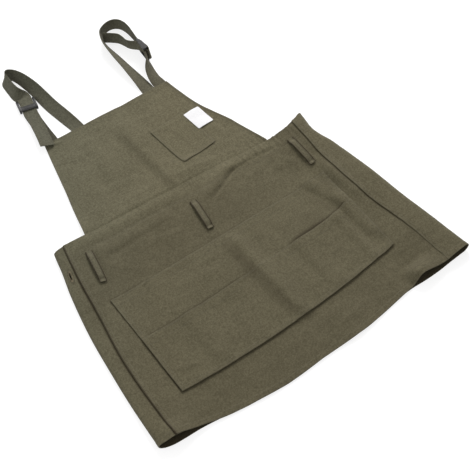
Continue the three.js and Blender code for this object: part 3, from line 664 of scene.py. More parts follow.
def pocket_place(bottom_row, top_row, layers, gape):
    def place(shares_v, offsets_v, shares_u, offsets_u):
        x = lerp(-POCKET_HALF_WIDTH, POCKET_HALF_WIDTH, shares_u) + offsets_u
        bottom, top = row_y(bottom_row, x), row_y(top_row, x)
        y = bottom + shares_v * (top - bottom) + offsets_v
        opened = gape * mouth_open(x) * fall(top - y, 0, MOUTH_DEPTH)
        points = np.stack([x, y, drape(x, y) + layers * LAYER + opened], -1)
        sides = {"left": x + POCKET_HALF_WIDTH, "right": POCKET_HALF_WIDTH - x}
        return points, {"x": x, "y": y, "bottom": y - bottom, "top": top - y, **sides}

    return place


def pocket_relief(f):
    sides = np.min([f["left"], f["right"], f["bottom"]], axis=0)
    return sewn("pocket_side", sides, f["x"] + f["y"]) + sewn("pocket_top", f["top"], f["x"])


def upper_relief(f):
    """The upper pocket lies flat where the lower one covers it."""
    covered = f["y"] < row_y("pocket_mouth", f["x"]) + MOUTH_COVER
    return np.where(covered, 0, pocket_relief(f))


# Painted shade: the darker skirt tone and the creases
def pocket_shade(f):
    return SKIRT_SHADE + crease_shade(f)


def upper_shade(f):
    """Painted shadow behind the lower pocket's open mouth."""
    behind = f["y"] - row_y("pocket_mouth", f["x"]) - MOUTH_LINE["offset"]
    wide = MOUTH_LINE["thin"] + MOUTH_LINE["wider"] * near(f["x"] - MOUTH_LINE["x"], MOUTH_LINE["reach"])
    return pocket_shade(f) + line_shade(behind / wide, MOUTH_LINE["strength"]) * mouth_open(f["x"])


pocket_columns = graded(2 * POCKET_HALF_WIDTH)
upper_pocket = Sheet(
    "pocket_upper_cloth", pocket_place("pocket_bottom", "pocket_top", 1, 0), graded(POCKET_HEIGHTS["upper"]),
    pocket_columns, upper_relief, ("top", "left", "right"), upper_shade,
)
lower_pocket = Sheet(
    "pocket_lower_cloth", pocket_place("pocket_bottom", "pocket_mouth", 2, MOUTH_GAPE),
    graded(POCKET_HEIGHTS["lower"]), pocket_columns, pocket_relief,
    ("top", "left", "right", "bottom"), pocket_shade,
)

# Bib
BIB_LENGTH = 310
BIB_WIDTH = 400
BIB_TUCK = (0.8, 8)
BIB_COVERED = 0.5
BREAST_POCKET = {"x": 53, "y": 162, "width": 96, "height": 122, "turn": 5.5, "corner": 9}
# Painted shade line round the breast pocket: offset from its edge and strength
BREAST_LINE = {"offset": 0.8, "strength": 0.2}
DARK_HEMS = {"right": 0.3, "top": 0.12}
DARK_HEM_EDGE = (5, 8)


def bib_place(shares_v, offsets_v, shares_u, offsets_u):
    bottom = row_y("waist_stitch", lerp(-BIB_FOOT, BIB_FOOT, shares_u))
    y = bottom + shares_v * (BIB_TOP - bottom) + offsets_v
    left, right = section(BIB_SECTIONS, "left", y), section(BIB_SECTIONS, "right", y)
    x = left + shares_u * (right - left) + offsets_u
    edge = y - row_y("waist_edge", x)
    points = np.stack([x, y, drape(x, y) - LAYER * fall(edge, *BIB_TUCK)], -1)
    return points, {"x": x, "y": y, "top": BIB_TOP - y, "left": x - left, "right": right - x, "edge": edge}


def bib_relief(f):
    lines = sewn("bib_side", np.minimum(f["left"], f["right"]), f["y"]) + sewn("bib_top", f["top"], f["x"])
    return np.where(f["edge"] < BIB_COVERED, 0, lines + waist_ribs(f["x"], f["edge"], "bib"))


def bib_shade(f):
    """Painted shade line on the bib round the breast pocket, a light painted shade over it and in its
    creases, and its darker hems.
    """
    pocket = BREAST_POCKET
    u, v = turned(f["x"] - pocket["x"], f["y"] - pocket["y"], -pocket["turn"])
    outside = np.max([-u, u - pocket["width"], -v, v - pocket["height"]], axis=0)
    hems = sum(share * fall(f[side], *DARK_HEM_EDGE) for side, share in DARK_HEMS.items())
    line = line_shade(outside - BREAST_LINE["offset"], BREAST_LINE["strength"])
    return BIB_SHADE + crease_shade(f) + line + hems


bib = Sheet(
    "bib_cloth", bib_place, graded(BIB_LENGTH, low=False), graded(BIB_WIDTH), bib_relief,
    ("top", "left", "right"), bib_shade,
)

# Side panels: from the seam out to the fold, round it, and back under to the middle of the back
LAP_STEPS = 6
TOP_STEPS = 14
TURN_STEPS = 18
BACK_STEPS = 90
LAP_THINNED = 0.8
# Painted shade line along the left seam, thin at its ends and wider in the middle
SEAM_LINE = {"thin": 1.2, "wider": 0.8, "start": (-380, -280), "end": (0, 60)}
SLIT = {"x": -325, "y": 42, "length": 22, "width": 4, "turn": -15, "least": 0.25}
SLIT_SHARES = (0.64, 0.86)

# The slit's sewn rim: half lengths of its oval, and its raised ring and ring of painted shade by shares of
# those
SLIT_RIM = {"along": 14, "aside": 4.2}
RIM_RAISED = {"at": 0.8, "reach": 0.3, "height": 0.5}
RIM_DARK = {"at": 1.35, "reach": 0.2, "height": 0.6}


def slit_ring(x, y, ring):
    """A ring round the slit, by the distance from its middle, which is 1 on the oval of its rim."""
    aside, along = turned(x - SLIT["x"], y - SLIT["y"], -SLIT["turn"])
    reach = np.hypot(aside / SLIT_RIM["aside"], along / SLIT_RIM["along"])
    return ring["height"] * near(reach - ring["at"], ring["reach"])


def panel_y(x, under=0.0):
    """Heights up the apron of the skirt's grid rows at x, from the front hem to the back one under it."""
    shares, offsets = skirt_rows
    bottom = lerp(row_y("hem", x), row_y("back_hem", x), under)
    return bottom + shares * (row_y("waist_edge", x) - bottom) + offsets


def panel_grid(side, name):
    """Middle points of a side panel, its seam, the count of its columns on top and the slit's columns."""
    shares, offsets = skirt_rows
    middle = lerp(row_y("hem", 0.0), row_y("waist_edge", 0.0), shares) + offsets
    side_y = panel_y(np.full_like(middle, side * SIDE_LINE))
    seam = section(SKIRT_SECTIONS, name + "_seam", middle)
    bulge = FOLD_BULGE * section(SKIRT_SECTIONS, name + "_rise", side_y)
    turn_x = section(SKIRT_SECTIONS, name + "_fold", side_y) - side * bulge
    lap_start, lap_end = seam, seam + SEAM_LAP
    flats = np.linspace(0, 1, TOP_STEPS + 1)
    if side < 0:
        lap_start, lap_end = np.minimum(lap_end, -POCKET_HALF_WIDTH - LINE_OFFSET), seam
        flats = sorted({*flats.round(3), *SLIT_SHARES})
    columns = [lerp(lap_start, lap_end, share) for share in np.linspace(0, 1, LAP_STEPS + 1)[:-1]]
    columns += [lerp(lap_end, turn_x, share) for share in flats]
    slit_columns = [LAP_STEPS + i for i, share in enumerate(flats) if share in SLIT_SHARES]
    points = [np.stack([x, panel_y(x), drape(x, panel_y(x)) + side * LAYER], -1) for x in columns]
    top_z = points[-1][:, 2]
    floor_z = CLOTH / 2
    for angle in np.linspace(0, math.pi, TURN_STEPS + 1)[1:]:
        x = turn_x + side * bulge * math.sin(angle)
        z = (top_z + floor_z) / 2 + (top_z - floor_z) / 2 * math.cos(angle)
        points.append(np.stack([x, panel_y(x, angle / math.pi), z], -1))
    for share in np.linspace(0, 1, BACK_STEPS + 1)[1:]:
        x = lerp(turn_x, side * BACK_EDGE, share)
        points.append(np.stack([x, panel_y(x, 1.0), np.full_like(x, floor_z)], -1))
    return np.stack(points, 1), middle, seam, len(columns), slit_columns


def side_panel(side):
    name = "left" if side < 0 else "right"
    points, middle, seam, columns, slit_columns = panel_grid(side, name)
    x, y = points[..., 0], points[..., 1]
    normals = grid_normals(points)
    if normals[len(middle) // 2, columns - 2, 2] < 0:
        normals = -normals
    from_hem = (panel_y(x.T) - row_y("hem", x.T)).T
    from_waist = (row_y("waist_edge", x.T) - panel_y(x.T)).T
    travelled = np.array([distances(row) for row in points])
    relief = sewn("panel_hem", from_hem, travelled) + sewn("panel_waist", from_waist, travelled)
    worn = np.minimum(from_hem, from_waist)
    # Painted shade: the darker skirt tone, a line along the left seam and a ring round the slit
    shade = np.full(x.shape, SKIRT_SHADE)
    on_top = np.arange(x.shape[1]) < columns + TURN_STEPS // 2
    holes = None
    if side > 0:
        flat_lap = fall(y, *LAP_ENDS)
        relief = relief + sewn("panel_lap", travelled, y) * (1 - flat_lap)
        relief = relief - LAP_THINNED * flat_lap * fall(travelled, 0, SEAM_LAP)
        worn = np.minimum(worn, np.abs(travelled))
    else:
        relief = np.where(np.arange(x.shape[1]) < LAP_STEPS, 0, relief) + slit_ring(x, y, RIM_RAISED)
        wide = SEAM_LINE["wider"] * smoothstep(middle, *SEAM_LINE["start"]) * fall(middle, *SEAM_LINE["end"])
        lines = line_shade((x - seam[:, None]) / (SEAM_LINE["thin"] + wide)[:, None])
        shade = np.maximum(shade, np.maximum(lines, slit_ring(x, y, RIM_DARK)) * on_top)
    relief = relief * on_top
    weave = np.stack([side * travelled, y], -1)
    if side < 0:
        holes = cut_slit(points, slit_columns)
    made = solid_sheet(
        f"side_panel_{name}_cloth", points, normals, CLOTH, relief, weave,
        near(worn, WEAR_REACH), shade, hem_inner(from_hem), holes,
    )
    return {"object": made, "points": points, "normals": normals, "relief": relief, "columns": columns}


def cut_slit(points, columns):
    """Cells of the slit in a side panel's grid, whose points are drawn in to a lens."""
    first, last = columns
    rows = np.nonzero(np.abs(points[:, first, 1] - SLIT["y"]) < SLIT["length"] / 2)[0]
    centre = (points[:, first] + points[:, last]) / 2
    for r in range(rows[0], rows[-1] + 2):
        reach = (points[r, first, 1] - SLIT["y"]) / (SLIT["length"] / 2 + GRID / 2)
        half = SLIT["width"] / 2 * math.sqrt(max(1 - reach * reach, 0.0))
        for column in columns:
            away = unit(points[r, column] - centre[r])
            points[r, column] = centre[r] + away * max(half, SLIT["least"])
    holes = np.zeros((points.shape[0] - 1, points.shape[1] - 1), bool)
    holes[rows[0]:rows[-1] + 1, first:last] = True
    return holes


panels = {"left": side_panel(-1), "right": side_panel(1)}

# Small patches on the bib
LABEL = {"x": 139, "y": 225, "width": 44, "height": 57, "turn": 5, "corner": 2.5}
LABEL_STEP = 1.9
LABEL_THICKNESS = 1
LABEL_DROP = 1.6
LABEL_WAVE = {"height": 0.15, "length": 9.0}
PATCH_THICKNESS = 1.1
CORNER_EASE = 0.7


def patch_place(patch, over, drop=0.0, round_top=False):
    width, height, corner = patch["width"], patch["height"], patch["corner"]

    def place(shares_v, offsets_v, shares_u, offsets_u):
        v = shares_v * height + offsets_v
        reach = np.clip(1 - v / corner, 0, 1)
        if round_top:
            reach = np.maximum(reach, np.clip(1 - (height - v) / corner, 0, 1))
        inset = corner * (1 - np.sqrt(1 - reach * reach)) * CORNER_EASE
        u = inset + (shares_u * width + offsets_u) * (width - 2 * inset) / width
        x, y = turned(u, v, patch["turn"])
        x, y = x + patch["x"], y + patch["y"]
        points = np.stack([x, y, drape(x, y) + over - drop * u / width], -1)
        return points, {"u": u, "v": v, "left": u, "right": width - u, "bottom": v, "top": height - v}

    return place


def breast_relief(f):
    sides = np.min([f["left"], f["right"], f["bottom"]], axis=0)
    return sewn("breast_side", sides, f["u"] + f["v"]) + sewn("breast_top", f["top"], f["u"])


def label_relief(f):
    return LABEL_WAVE["height"] * np.sin(f["v"] / LABEL_WAVE["length"])


breast_pocket = Sheet(
    "breast_pocket_cloth", patch_place(BREAST_POCKET, LAYER), graded(BREAST_POCKET["height"]),
    graded(BREAST_POCKET["width"]), breast_relief, ("left", "right", "bottom", "top"),
    thickness=PATCH_THICKNESS,
)
label = Sheet(
    "label_cloth", patch_place(LABEL, 2 * LAYER, LABEL_DROP, True), graded(LABEL["height"], step=LABEL_STEP),
    graded(LABEL["width"], step=LABEL_STEP), label_relief, thickness=LABEL_THICKNESS,
)

# Ribbons: straps, tabs and belt loops
RIBBON_STEP = 2.4
RIBBON_LINES = (-1, -0.96, -0.9, -0.82, -0.74, -0.5, -0.25, 0, 0.25, 0.5, 0.74, 0.82, 0.9, 0.96, 1)
EDGE_STITCH = 3.2
EDGE_ROLL = 0.8
EDGE_FOLD = 0.25
EDGE_GROOVE = 0.2
EDGE_RIBS = {"height": 0.07, "reach": 3}
EDGE_WEAR = 1.2
# Painted shade on the strips: along their edges, at the edge stitching, and over the tabs that the strap
# tails shadow
EDGE_DARK = 1.9
EDGE_SHADE = 0.12
SEWN_SHADE = 0.25
SEWN_REACH = 1
RIDGE_SHARE = 0.3
FLOOR_CLEAR = 0.25
CROSS_POINTS = 12
CROSS_LIFT = 0.05
TAB_SHADES = {"left": 0.5, "right": 0.1}


def curve_points(stations, step):
    """Centripetal curve through stations, whose first three columns are places."""
    first = 2 * stations[0] - stations[1]
    last = 2 * stations[-1] - stations[-2]
    ends = np.vstack([first, stations, last])
    knots = np.sqrt(np.linalg.norm(np.diff(ends[:, :3], axis=0), axis=1))
    places = []
    for i in range(len(stations) - 1):
        p0, p1, p2, p3 = ends[i:i + 4]
        d0, d1, d2 = knots[i:i + 3]
        m1 = ((p1 - p0) / d0 - (p2 - p0) / (d0 + d1) + (p2 - p1) / d1) * d1
        m2 = ((p2 - p1) / d1 - (p3 - p1) / (d1 + d2) + (p3 - p2) / d2) * d1
        count = max(int(np.linalg.norm((p2 - p1)[:3]) / step), 2)
        for t in np.arange(count) / count:
            a = 2 * t**3 - 3 * t**2 + 1
            b = t**3 - 2 * t**2 + t
            c = -2 * t**3 + 3 * t**2
            d = t**3 - t**2
            places.append(a * p1 + b * m1 + c * p2 + d * m2)
    return np.array([*places, stations[-1]])


class Ribbon:
    """Flat strip along stations of centre and width direction, with folded edges."""

    def __init__(
        self, name, stations, width, thickness, step=RIBBON_STEP, edge_shade=EDGE_SHADE, ridge=0.0, dark=0.0
    ):
        line = curve_points(stations, step)
        middle, aside = line[:, :3], line[:, 3:]
        tangent = unit(np.gradient(middle, axis=0))
        aside = unit(aside - tangent * np.sum(aside * tangent, axis=1, keepdims=True))
        normal = unit(np.cross(tangent, aside))
        thin = thickness - 2 * EDGE_FOLD
        length = distances(middle)
        self.middle, self.aside, self.normal = middle, aside, normal
        self.width, self.length, self.lift = width, length[-1], thin / 2
        shares = np.array(RIBBON_LINES)
        across = shares * width / 2
        points = middle[:, None] + aside[:, None] * across[None, :, None]
        points[..., 2] = np.maximum(points[..., 2], FLOOR_CLEAR + thickness / 2)
        normals = np.repeat(normal[:, None], len(shares), 1)
        inward = width / 2 - np.abs(across)
        beside = inward - EDGE_STITCH
        profile = EDGE_FOLD * fall(beside, -EDGE_ROLL, EDGE_ROLL) + ridge * near(shares, RIDGE_SHARE)
        profile = profile - EDGE_GROOVE * near(beside, EDGE_ROLL)
        ribs = EDGE_RIBS["height"] * pucker(length[:, None], beside[None, :], EDGE_RIBS["reach"])
        weave = np.stack(np.broadcast_arrays(across[None, :], length[:, None]), -1)
        # Painted shade along the edges and at the stitching, over a share of painted shadow on the whole
        # strip
        lines = np.maximum(edge_shade * near(inward, EDGE_DARK), SEWN_SHADE * near(beside, SEWN_REACH))
        self.object = solid_sheet(
            name, points, normals, thin, profile[None, :] + ribs, weave,
            near(inward, EDGE_WEAR)[None, :], dark + (1 - dark) * lines[None, :],
        )

    def edge_stitches(self, face):
        """Stitch lines along both edges of one face."""
        runs = []
        for side in (-1, 1):
            offset = side * (self.width / 2 - EDGE_STITCH)
            line = self.middle + self.aside * offset + self.normal * face * self.lift
            line[:, 2] = np.maximum(line[:, 2], 2 * FLOOR_CLEAR)
            runs.append((line, self.normal * face))
        return runs

    def cross_stitches(self, face, place):
        """A stitch line across one face at a place along the strip in millimetres from its end."""
        k = -1 - int(place / RIBBON_STEP)
        reach = np.linspace(-1, 1, CROSS_POINTS)[:, None] * (self.width / 2 - EDGE_STITCH)
        line = self.middle[k] + self.aside[k] * reach + self.normal[k] * face * (self.lift + CROSS_LIFT)
        return [(line, np.repeat(self.normal[k][None] * face, len(line), 0))]


# Straps and tabs: stations of x, y, z and lean, or of distances along and out of a buckle
BUCKLES = {
    "left": {"side": -1, "x": -147.5, "y": 532, "z": 0, "yaw": -12, "lean": 0},
    "right": {"side": 1, "x": 164.5, "y": 508, "z": 23, "yaw": -5, "lean": 80},
}
STRAP_ROUTES = {
    "left": {
        "run": (
            (-92, 84, 3.1, 0), (-91, 117, 3.1, 0), (-90, 142, 1.5, 0), (-88, 260, 1.5, 0),
            (-86, 370, 1.5, 0), (-87, 402, 1.8, 0), (-96, 450, 7, 20), (-103, 492, 8.2, 24),
            (-107, 530, 10.4, 33), (-110, 560, 12.4, 42), (-116, 590, 14.2, 52), (-123, 612, 15.8, 63),
            (-132, 628, 16.6, 73), (-142, 635, 16.8, 78), (-150, 632, 16.4, 70), (-154.5, 622, 15.4, 61),
            (-155.5, 605, 14.8, 58), (-155.8, 588, 14.8, 57), (-154.5, 574, 13.6, 48),
            (-149.5, 563, 10.4, 22),
        ),
        "through": (
            (24, 7.4), (15, 7.2), (8, 7), (2, 7.2), (-4, 7.7), (-10, 8), (-16, 8), (-22, 7.8), (-32, 6.9),
        ),
        "tail": ((-157, 478, 7.6, -8), (-163.5, 444, 9.6, -14), (-170.5, 412, 12, -16), (-176, 388, 13, -14)),
    },
    "right": {
        "run": (
            (112, 84, 3.1, 0), (112, 117, 3.1, 0), (112, 142, 1.5, 0), (113, 260, 1.5, 0),
            (114, 370, 1.5, 0), (114, 402, 1.8, 0), (113, 440, 6.4, 18), (111, 488, 10.4, 34),
            (109, 540, 12.8, 45), (108, 578, 15.2, 59), (111, 600, 16.2, 70), (118, 616, 16.8, 77),
            (131, 626, 17, 83), (147, 631, 17, 88), (162, 629, 17, 90), (173, 620, 17, 90),
            (179, 604, 17, 90), (180, 585, 17.4, 88), (178, 565, 19, 85), (175.5, 547, 21.6, 82),
        ),
        "through": (
            (24, 6.9), (15, 7.4), (8, 9.4), (2, 12), (-4, 14.2), (-10, 15), (-17, 15), (-23, 13.6),
            (-25.4, 10.8), (-23, 8.4), (-16, 7.9), (-10, 7.9), (-4, 7.2), (2, 6), (7, 4), (11, 1.9),
            (15, 1.1), (20, -1.8),
        ),
        "tail": (
            (157.5, 538, 20, 79), (151.5, 549, 18.4, 80), (149, 564, 17.2, 85), (144, 579, 17, 90),
            (131, 592, 17, 90), (116, 603.5, 17, 90),
        ),
    },
}
TAB_ROUTES = {
    "left": ((-158, 374, 1.2, 0), (-158, 404, 1.2, 0), (-157, 450, 1.2, 0)),
    "right": ((148, 374, 1.4, 0), (148, 402, 1.6, 0), (147, 424, 6.2, 17), (151.5, 448, 11.8, 36)),
}
TAB_THROUGH = (
    (-31, 1.2), (-22, 1.2), (-14.5, 1.2), (-11.2, 1.9), (-10.2, 3.8), (-11.2, 5.3), (-13.5, 5.8),
    (-16.5, 5.4), (-19.5, 4.2), (-24, 3.4), (-30, 3.3),
)


def leaning(side, lean):
    return np.array([side * math.cos(math.radians(lean)), 0, -math.sin(math.radians(lean))])


def buckle_frame(buckle):
    """Directions of a buckle: u across the strap, v towards the shoulder loop, w out of its face."""
    u = leaning(buckle["side"], buckle["lean"])
    u = np.array([*turned(u[0], u[1], buckle["yaw"]), u[2]])
    v = np.array([*turned(0.0, 1.0, buckle["yaw"]), 0.0])
    w = np.cross(v, u) if buckle["side"] < 0 else np.cross(u, v)
    return u, v, w, np.array([buckle["x"], buckle["y"], buckle["z"]], float)


def ribbon_stations(before, through, after, buckle):
    """Rows of centre and width direction along a strap or tab that runs through its buckle."""
    u, v, w, origin = buckle_frame(buckle)
    laid_before = [(*row[:3], *leaning(buckle["side"], row[3])) for row in before]
    threaded = [(*(origin + v * along + w * out), *u) for along, out in through]
    laid_after = [(*row[:3], *leaning(buckle["side"], row[3])) for row in after]
    return np.array(laid_before + threaded + laid_after, float)


straps, tabs = {}, {}
for name, buckle in BUCKLES.items():
    route = STRAP_ROUTES[name]
    stations = ribbon_stations(route["run"], route["through"], route["tail"], buckle)
    straps[name] = Ribbon(f"strap_{name}_webbing", stations, STRAP_WIDTH, STRAP_THICKNESS)
    stations = ribbon_stations(TAB_ROUTES[name], TAB_THROUGH, (), buckle)
    tabs[name] = Ribbon(f"tab_{name}_webbing", stations, STRAP_WIDTH, TAB_THICKNESS, dark=TAB_SHADES[name])

# Belt loops: top and bottom ends, and a profile of shares of the length and heights over the cloth
BELT_LOOPS = {
    "belt_loop_left": ((-260, 74), (-275, -9)),
    "belt_loop_centre": ((4, 58), (-7, -26)),
    "belt_loop_right": ((283, 64), (285, -20)),
}
LOOP_WIDTH = 15
LOOP_THICKNESS = 2
LOOP_CLEARANCE = 1
LOOP_STEP = 1.6
# Painted shade along the loops' edges, where the gaps under them lie
LOOP_EDGE_SHADE = 1.0
LOOP_RIDGE = 0.5
LOOP_PROFILE = (
    (0, 0), (0.06, 0), (0.11, 1.2), (0.18, 2.8), (0.32, 3.4), (0.6, 3.8), (0.8, 3.4), (0.88, 1.4),
    (0.92, 0), (0.96, 0.5), (1, 1.4),
)


def belt_loop(name, top, bottom):
    top, bottom = np.array([*top, 0.0]), np.array([*bottom, 0.0])
    side = np.cross([0, 0, 1], unit(bottom - top)) * LOOP_WIDTH / 2
    rest = CLOTH / 2 + LOOP_CLEARANCE + LOOP_THICKNESS / 2
    stations = []
    for share, lift in LOOP_PROFILE:
        x, y, _ = lerp(top, bottom, share)
        start, end = drape(x - side[0], y - side[1]), drape(x + side[0], y + side[1])
        under = max(float(drape(x, y)), float(start + end) / 2)
        width = unit(np.array([2 * side[0], 2 * side[1], float(end - start)]))
        stations.append((x, y, under + rest + lift, *width))
    return Ribbon(
        name + "_webbing", np.array(stations), LOOP_WIDTH, LOOP_THICKNESS,
        LOOP_STEP, LOOP_EDGE_SHADE, LOOP_RIDGE,
    )


loops = {name: belt_loop(name, *ends) for name, ends in BELT_LOOPS.items()}

# Buckles: moulded frames of two rails and three bars, rounded by a fine remesh
RAIL_INNER = 18
RAIL_OUTER = 22.6
RAIL_OUTLINE = (
    (-19, 0.6), (17, 0.6), (19, 2.6), (18, 6.4), (12, 9.4), (4, 11.4), (-4, 12.4), (-14, 12.8), (-19.6, 12),
    (-21, 8), (-20.6, 3),
)
BAR_REACH = RAIL_INNER + 1.2
RIDGE_REACH = RAIL_INNER - 2
BAR_SIDES = 20
BUCKLE_VOXEL = 0.42
SOFTEN_SHARE = 0.5
SOFTEN_ROUNDS = 3

# Bars and lip ridges: place along, height, half length, half height and reach to each side
BUCKLE_BARS = (
    (15, 3.8, 2, 1.3, BAR_REACH),
    (-14, 10.7, 7.5, 1.4, BAR_REACH),
    (-13.5, 3.8, 2, 1, BAR_REACH),
    (-17, 12, 0.7, 0.5, RIDGE_REACH),
    (-14, 12, 0.7, 0.5, RIDGE_REACH),
    (-11, 12, 0.7, 0.5, RIDGE_REACH),
)


def buckle_prisms():
    """Outlines of a buckle's rails and bars, each with its two ends across the strap."""
    yield RAIL_OUTLINE, -RAIL_OUTER, -RAIL_INNER
    yield RAIL_OUTLINE, RAIL_INNER, RAIL_OUTER
    ring = [2 * math.pi * k / BAR_SIDES for k in range(BAR_SIDES)]
    for along, out, half_length, half_height, reach in BUCKLE_BARS:
        oval = [(along + half_length * math.cos(t), out + half_height * math.sin(t)) for t in ring]
        yield oval, -reach, reach


def buckle_mesh(name):
    _, v, w, origin = buckle_frame(BUCKLES[name])
    aside = np.cross(v, w)
    vertices, faces = [], []
    for outline, low, high in buckle_prisms():
        base, count = len(vertices), len(outline)
        vertices += [origin + v * a + w * b + aside * end for end in (low, high) for a, b in outline]
        first, last = range(base, base + count), range(base + count, base + 2 * count)
        sides = [(first[k - 1], first[k], last[k], last[k - 1]) for k in range(count)]
        faces += [tuple(first[::-1]), tuple(last), *sides]
    made = new_object(f"buckle_{name}_moulding", np.array(vertices), faces)
    remesh = made.modifiers.new("round", "REMESH")
    remesh.mode = "VOXEL"
    remesh.voxel_size = BUCKLE_VOXEL * METRES
    remesh.use_smooth_shade = True
    soften = made.modifiers.new("soften", "SMOOTH")
    soften.factor = SOFTEN_SHARE
    soften.iterations = SOFTEN_ROUNDS
    bake_modifiers(made)
    return made


def bake_modifiers(made):
    """Puts the shape that an object's modifiers give into its mesh."""
    graph = bpy.context.evaluated_depsgraph_get()
    shaped = bpy.data.meshes.new_from_object(made.evaluated_get(graph))
    made.modifiers.clear()
    made.data = shaped


buckles = {name: buckle_mesh(name) for name in BUCKLES}

# Stitching: distances of the lines from their edges, and where a covered sheet's lines start
ALL = np.linspace(0, 1, 240)
WAIST_STITCHES = (4, WAIST_BAND, WAIST_BAND + 5)
TOP_STITCHES = (3, POCKET_TOP_HEM)
BIB_STITCHES = (2.6, BIB_SIDE_HEM)
BIB_TOP_STITCHES = (3, BIB_TOP_HEM)
UPPER_POCKET_START = 0.57
BIB_START = 0.17
PANEL_WAIST_STITCH = 3.6
LAP_STITCH_COLUMNS = (1, 4)
FAR_ROW = 100
STRAP_END_STITCH = 7
SLIT_STITCHES = 44
SLIT_STITCH_ENDS = ((0.55, 0.86), (1, 1))
SLIT_STITCH_LIFT = 0.35
SLIT_STITCH_REACH = 0.6


def side_lines(sheet, shares, stitches):
    """Lines along both sides of a sheet."""
    ends = ((end, sign * d) for d in stitches for end, sign in ((0, 1), (1, -1)))
    return [sheet.line(shares, 0, end, offset) for end, offset in ends]


front_runs = [front.line(0, SKIRT_HEM, ALL, 0)]
front_runs += [front.line(1, -d, ALL, 0) for d in WAIST_STITCHES]
front_runs += [front.line(ALL, 0, 0, d) for d in SEAM_STITCHES]
pocket_runs = []
for sheet, start in ((upper_pocket, UPPER_POCKET_START), (lower_pocket, 0.0)):
    pocket_runs += side_lines(sheet, lerp(start, 1, ALL), POCKET_STITCHES)
    pocket_runs += [sheet.line(1, -d, ALL, 0) for d in TOP_STITCHES]
pocket_runs += [lower_pocket.line(0, d, ALL, 0) for d in POCKET_STITCHES]
bib_runs = side_lines(bib, lerp(BIB_START, 1, ALL), BIB_STITCHES)
bib_runs += [bib.line(1, -d, ALL, 0) for d in BIB_TOP_STITCHES]
for d in BREAST_STITCHES:
    bib_runs += side_lines(breast_pocket, ALL, (d,))
    bib_runs.append(breast_pocket.line(0, d, ALL, 0))
bib_runs.append(breast_pocket.line(1, -BREAST_TOP_HEM, ALL, 0))


def panel_runs(name):
    """Stitch lines on a side panel: hem and waist from the seam round the fold, and the right lap's edge."""
    panel = panels[name]
    normals = panel["normals"]
    surface = panel["points"] + normals * (CLOTH / 2 + panel["relief"])[..., None]
    top = slice(LAP_STEPS + 1 if name == "left" else 0, panel["columns"] + TURN_STEPS // 2)
    shares, offsets = skirt_rows
    rows = (
        np.argmin(np.abs(offsets - SKIRT_HEM) + FAR_ROW * shares),
        np.argmin(np.abs(offsets + PANEL_WAIST_STITCH) + FAR_ROW * (1 - shares)),
        np.argmin(np.abs((1 - shares) * SKIRT_LENGTH - offsets - WAIST_BAND)),
    )
    runs = [(surface[r, top], normals[r, top]) for r in rows]
    if name == "right":
        runs += [(surface[:, column], normals[:, column]) for column in LAP_STITCH_COLUMNS]
    return runs


def slit_runs():
    """Short stitches set round the slit, pointing away from it."""
    runs = []
    for t in np.linspace(0, 2 * math.pi, SLIT_STITCHES, endpoint=False):
        ends = []
        for aside, along in SLIT_STITCH_ENDS:
            u, v = aside * SLIT_RIM["aside"] * math.cos(t), along * SLIT_RIM["along"] * math.sin(t)
            x, y = turned(u, v, SLIT["turn"])
            x, y = x + SLIT["x"], y + SLIT["y"]
            ends.append(np.array([x, y, float(drape(x, y)) - LAYER + CLOTH / 2 + SLIT_STITCH_LIFT]))
        middle = (ends[0] + ends[1]) / 2
        reach = unit(ends[1] - ends[0]) * STITCH_PITCH * SLIT_STITCH_REACH
        runs.append((np.array([middle - reach, middle + reach]), np.tile([0.0, 0.0, 1.0], (2, 1))))
    return runs


def strap_runs(name):
    strap, tab = straps[name], tabs[name]
    runs = strap.edge_stitches(1) + strap.edge_stitches(-1)
    runs += strap.cross_stitches(1, STRAP_END_STITCH) + strap.cross_stitches(-1, STRAP_END_STITCH)
    return runs + tab.edge_stitches(1) + tab.edge_stitches(-1)


all_runs = {
    "front": front_runs,
    "pocket": pocket_runs,
    "bib": bib_runs,
    "panel_left": panel_runs("left"),
    "slit": slit_runs(),
    "panel_right": panel_runs("right"),
    "strap_left": strap_runs("left"),
    "strap_right": strap_runs("right"),
    "loops": [run for loop in loops.values() for run in loop.edge_stitches(1)],
}
stitches = {key: stitch_beads(f"stitches_{key}", runs) for key, runs in all_runs.items()}


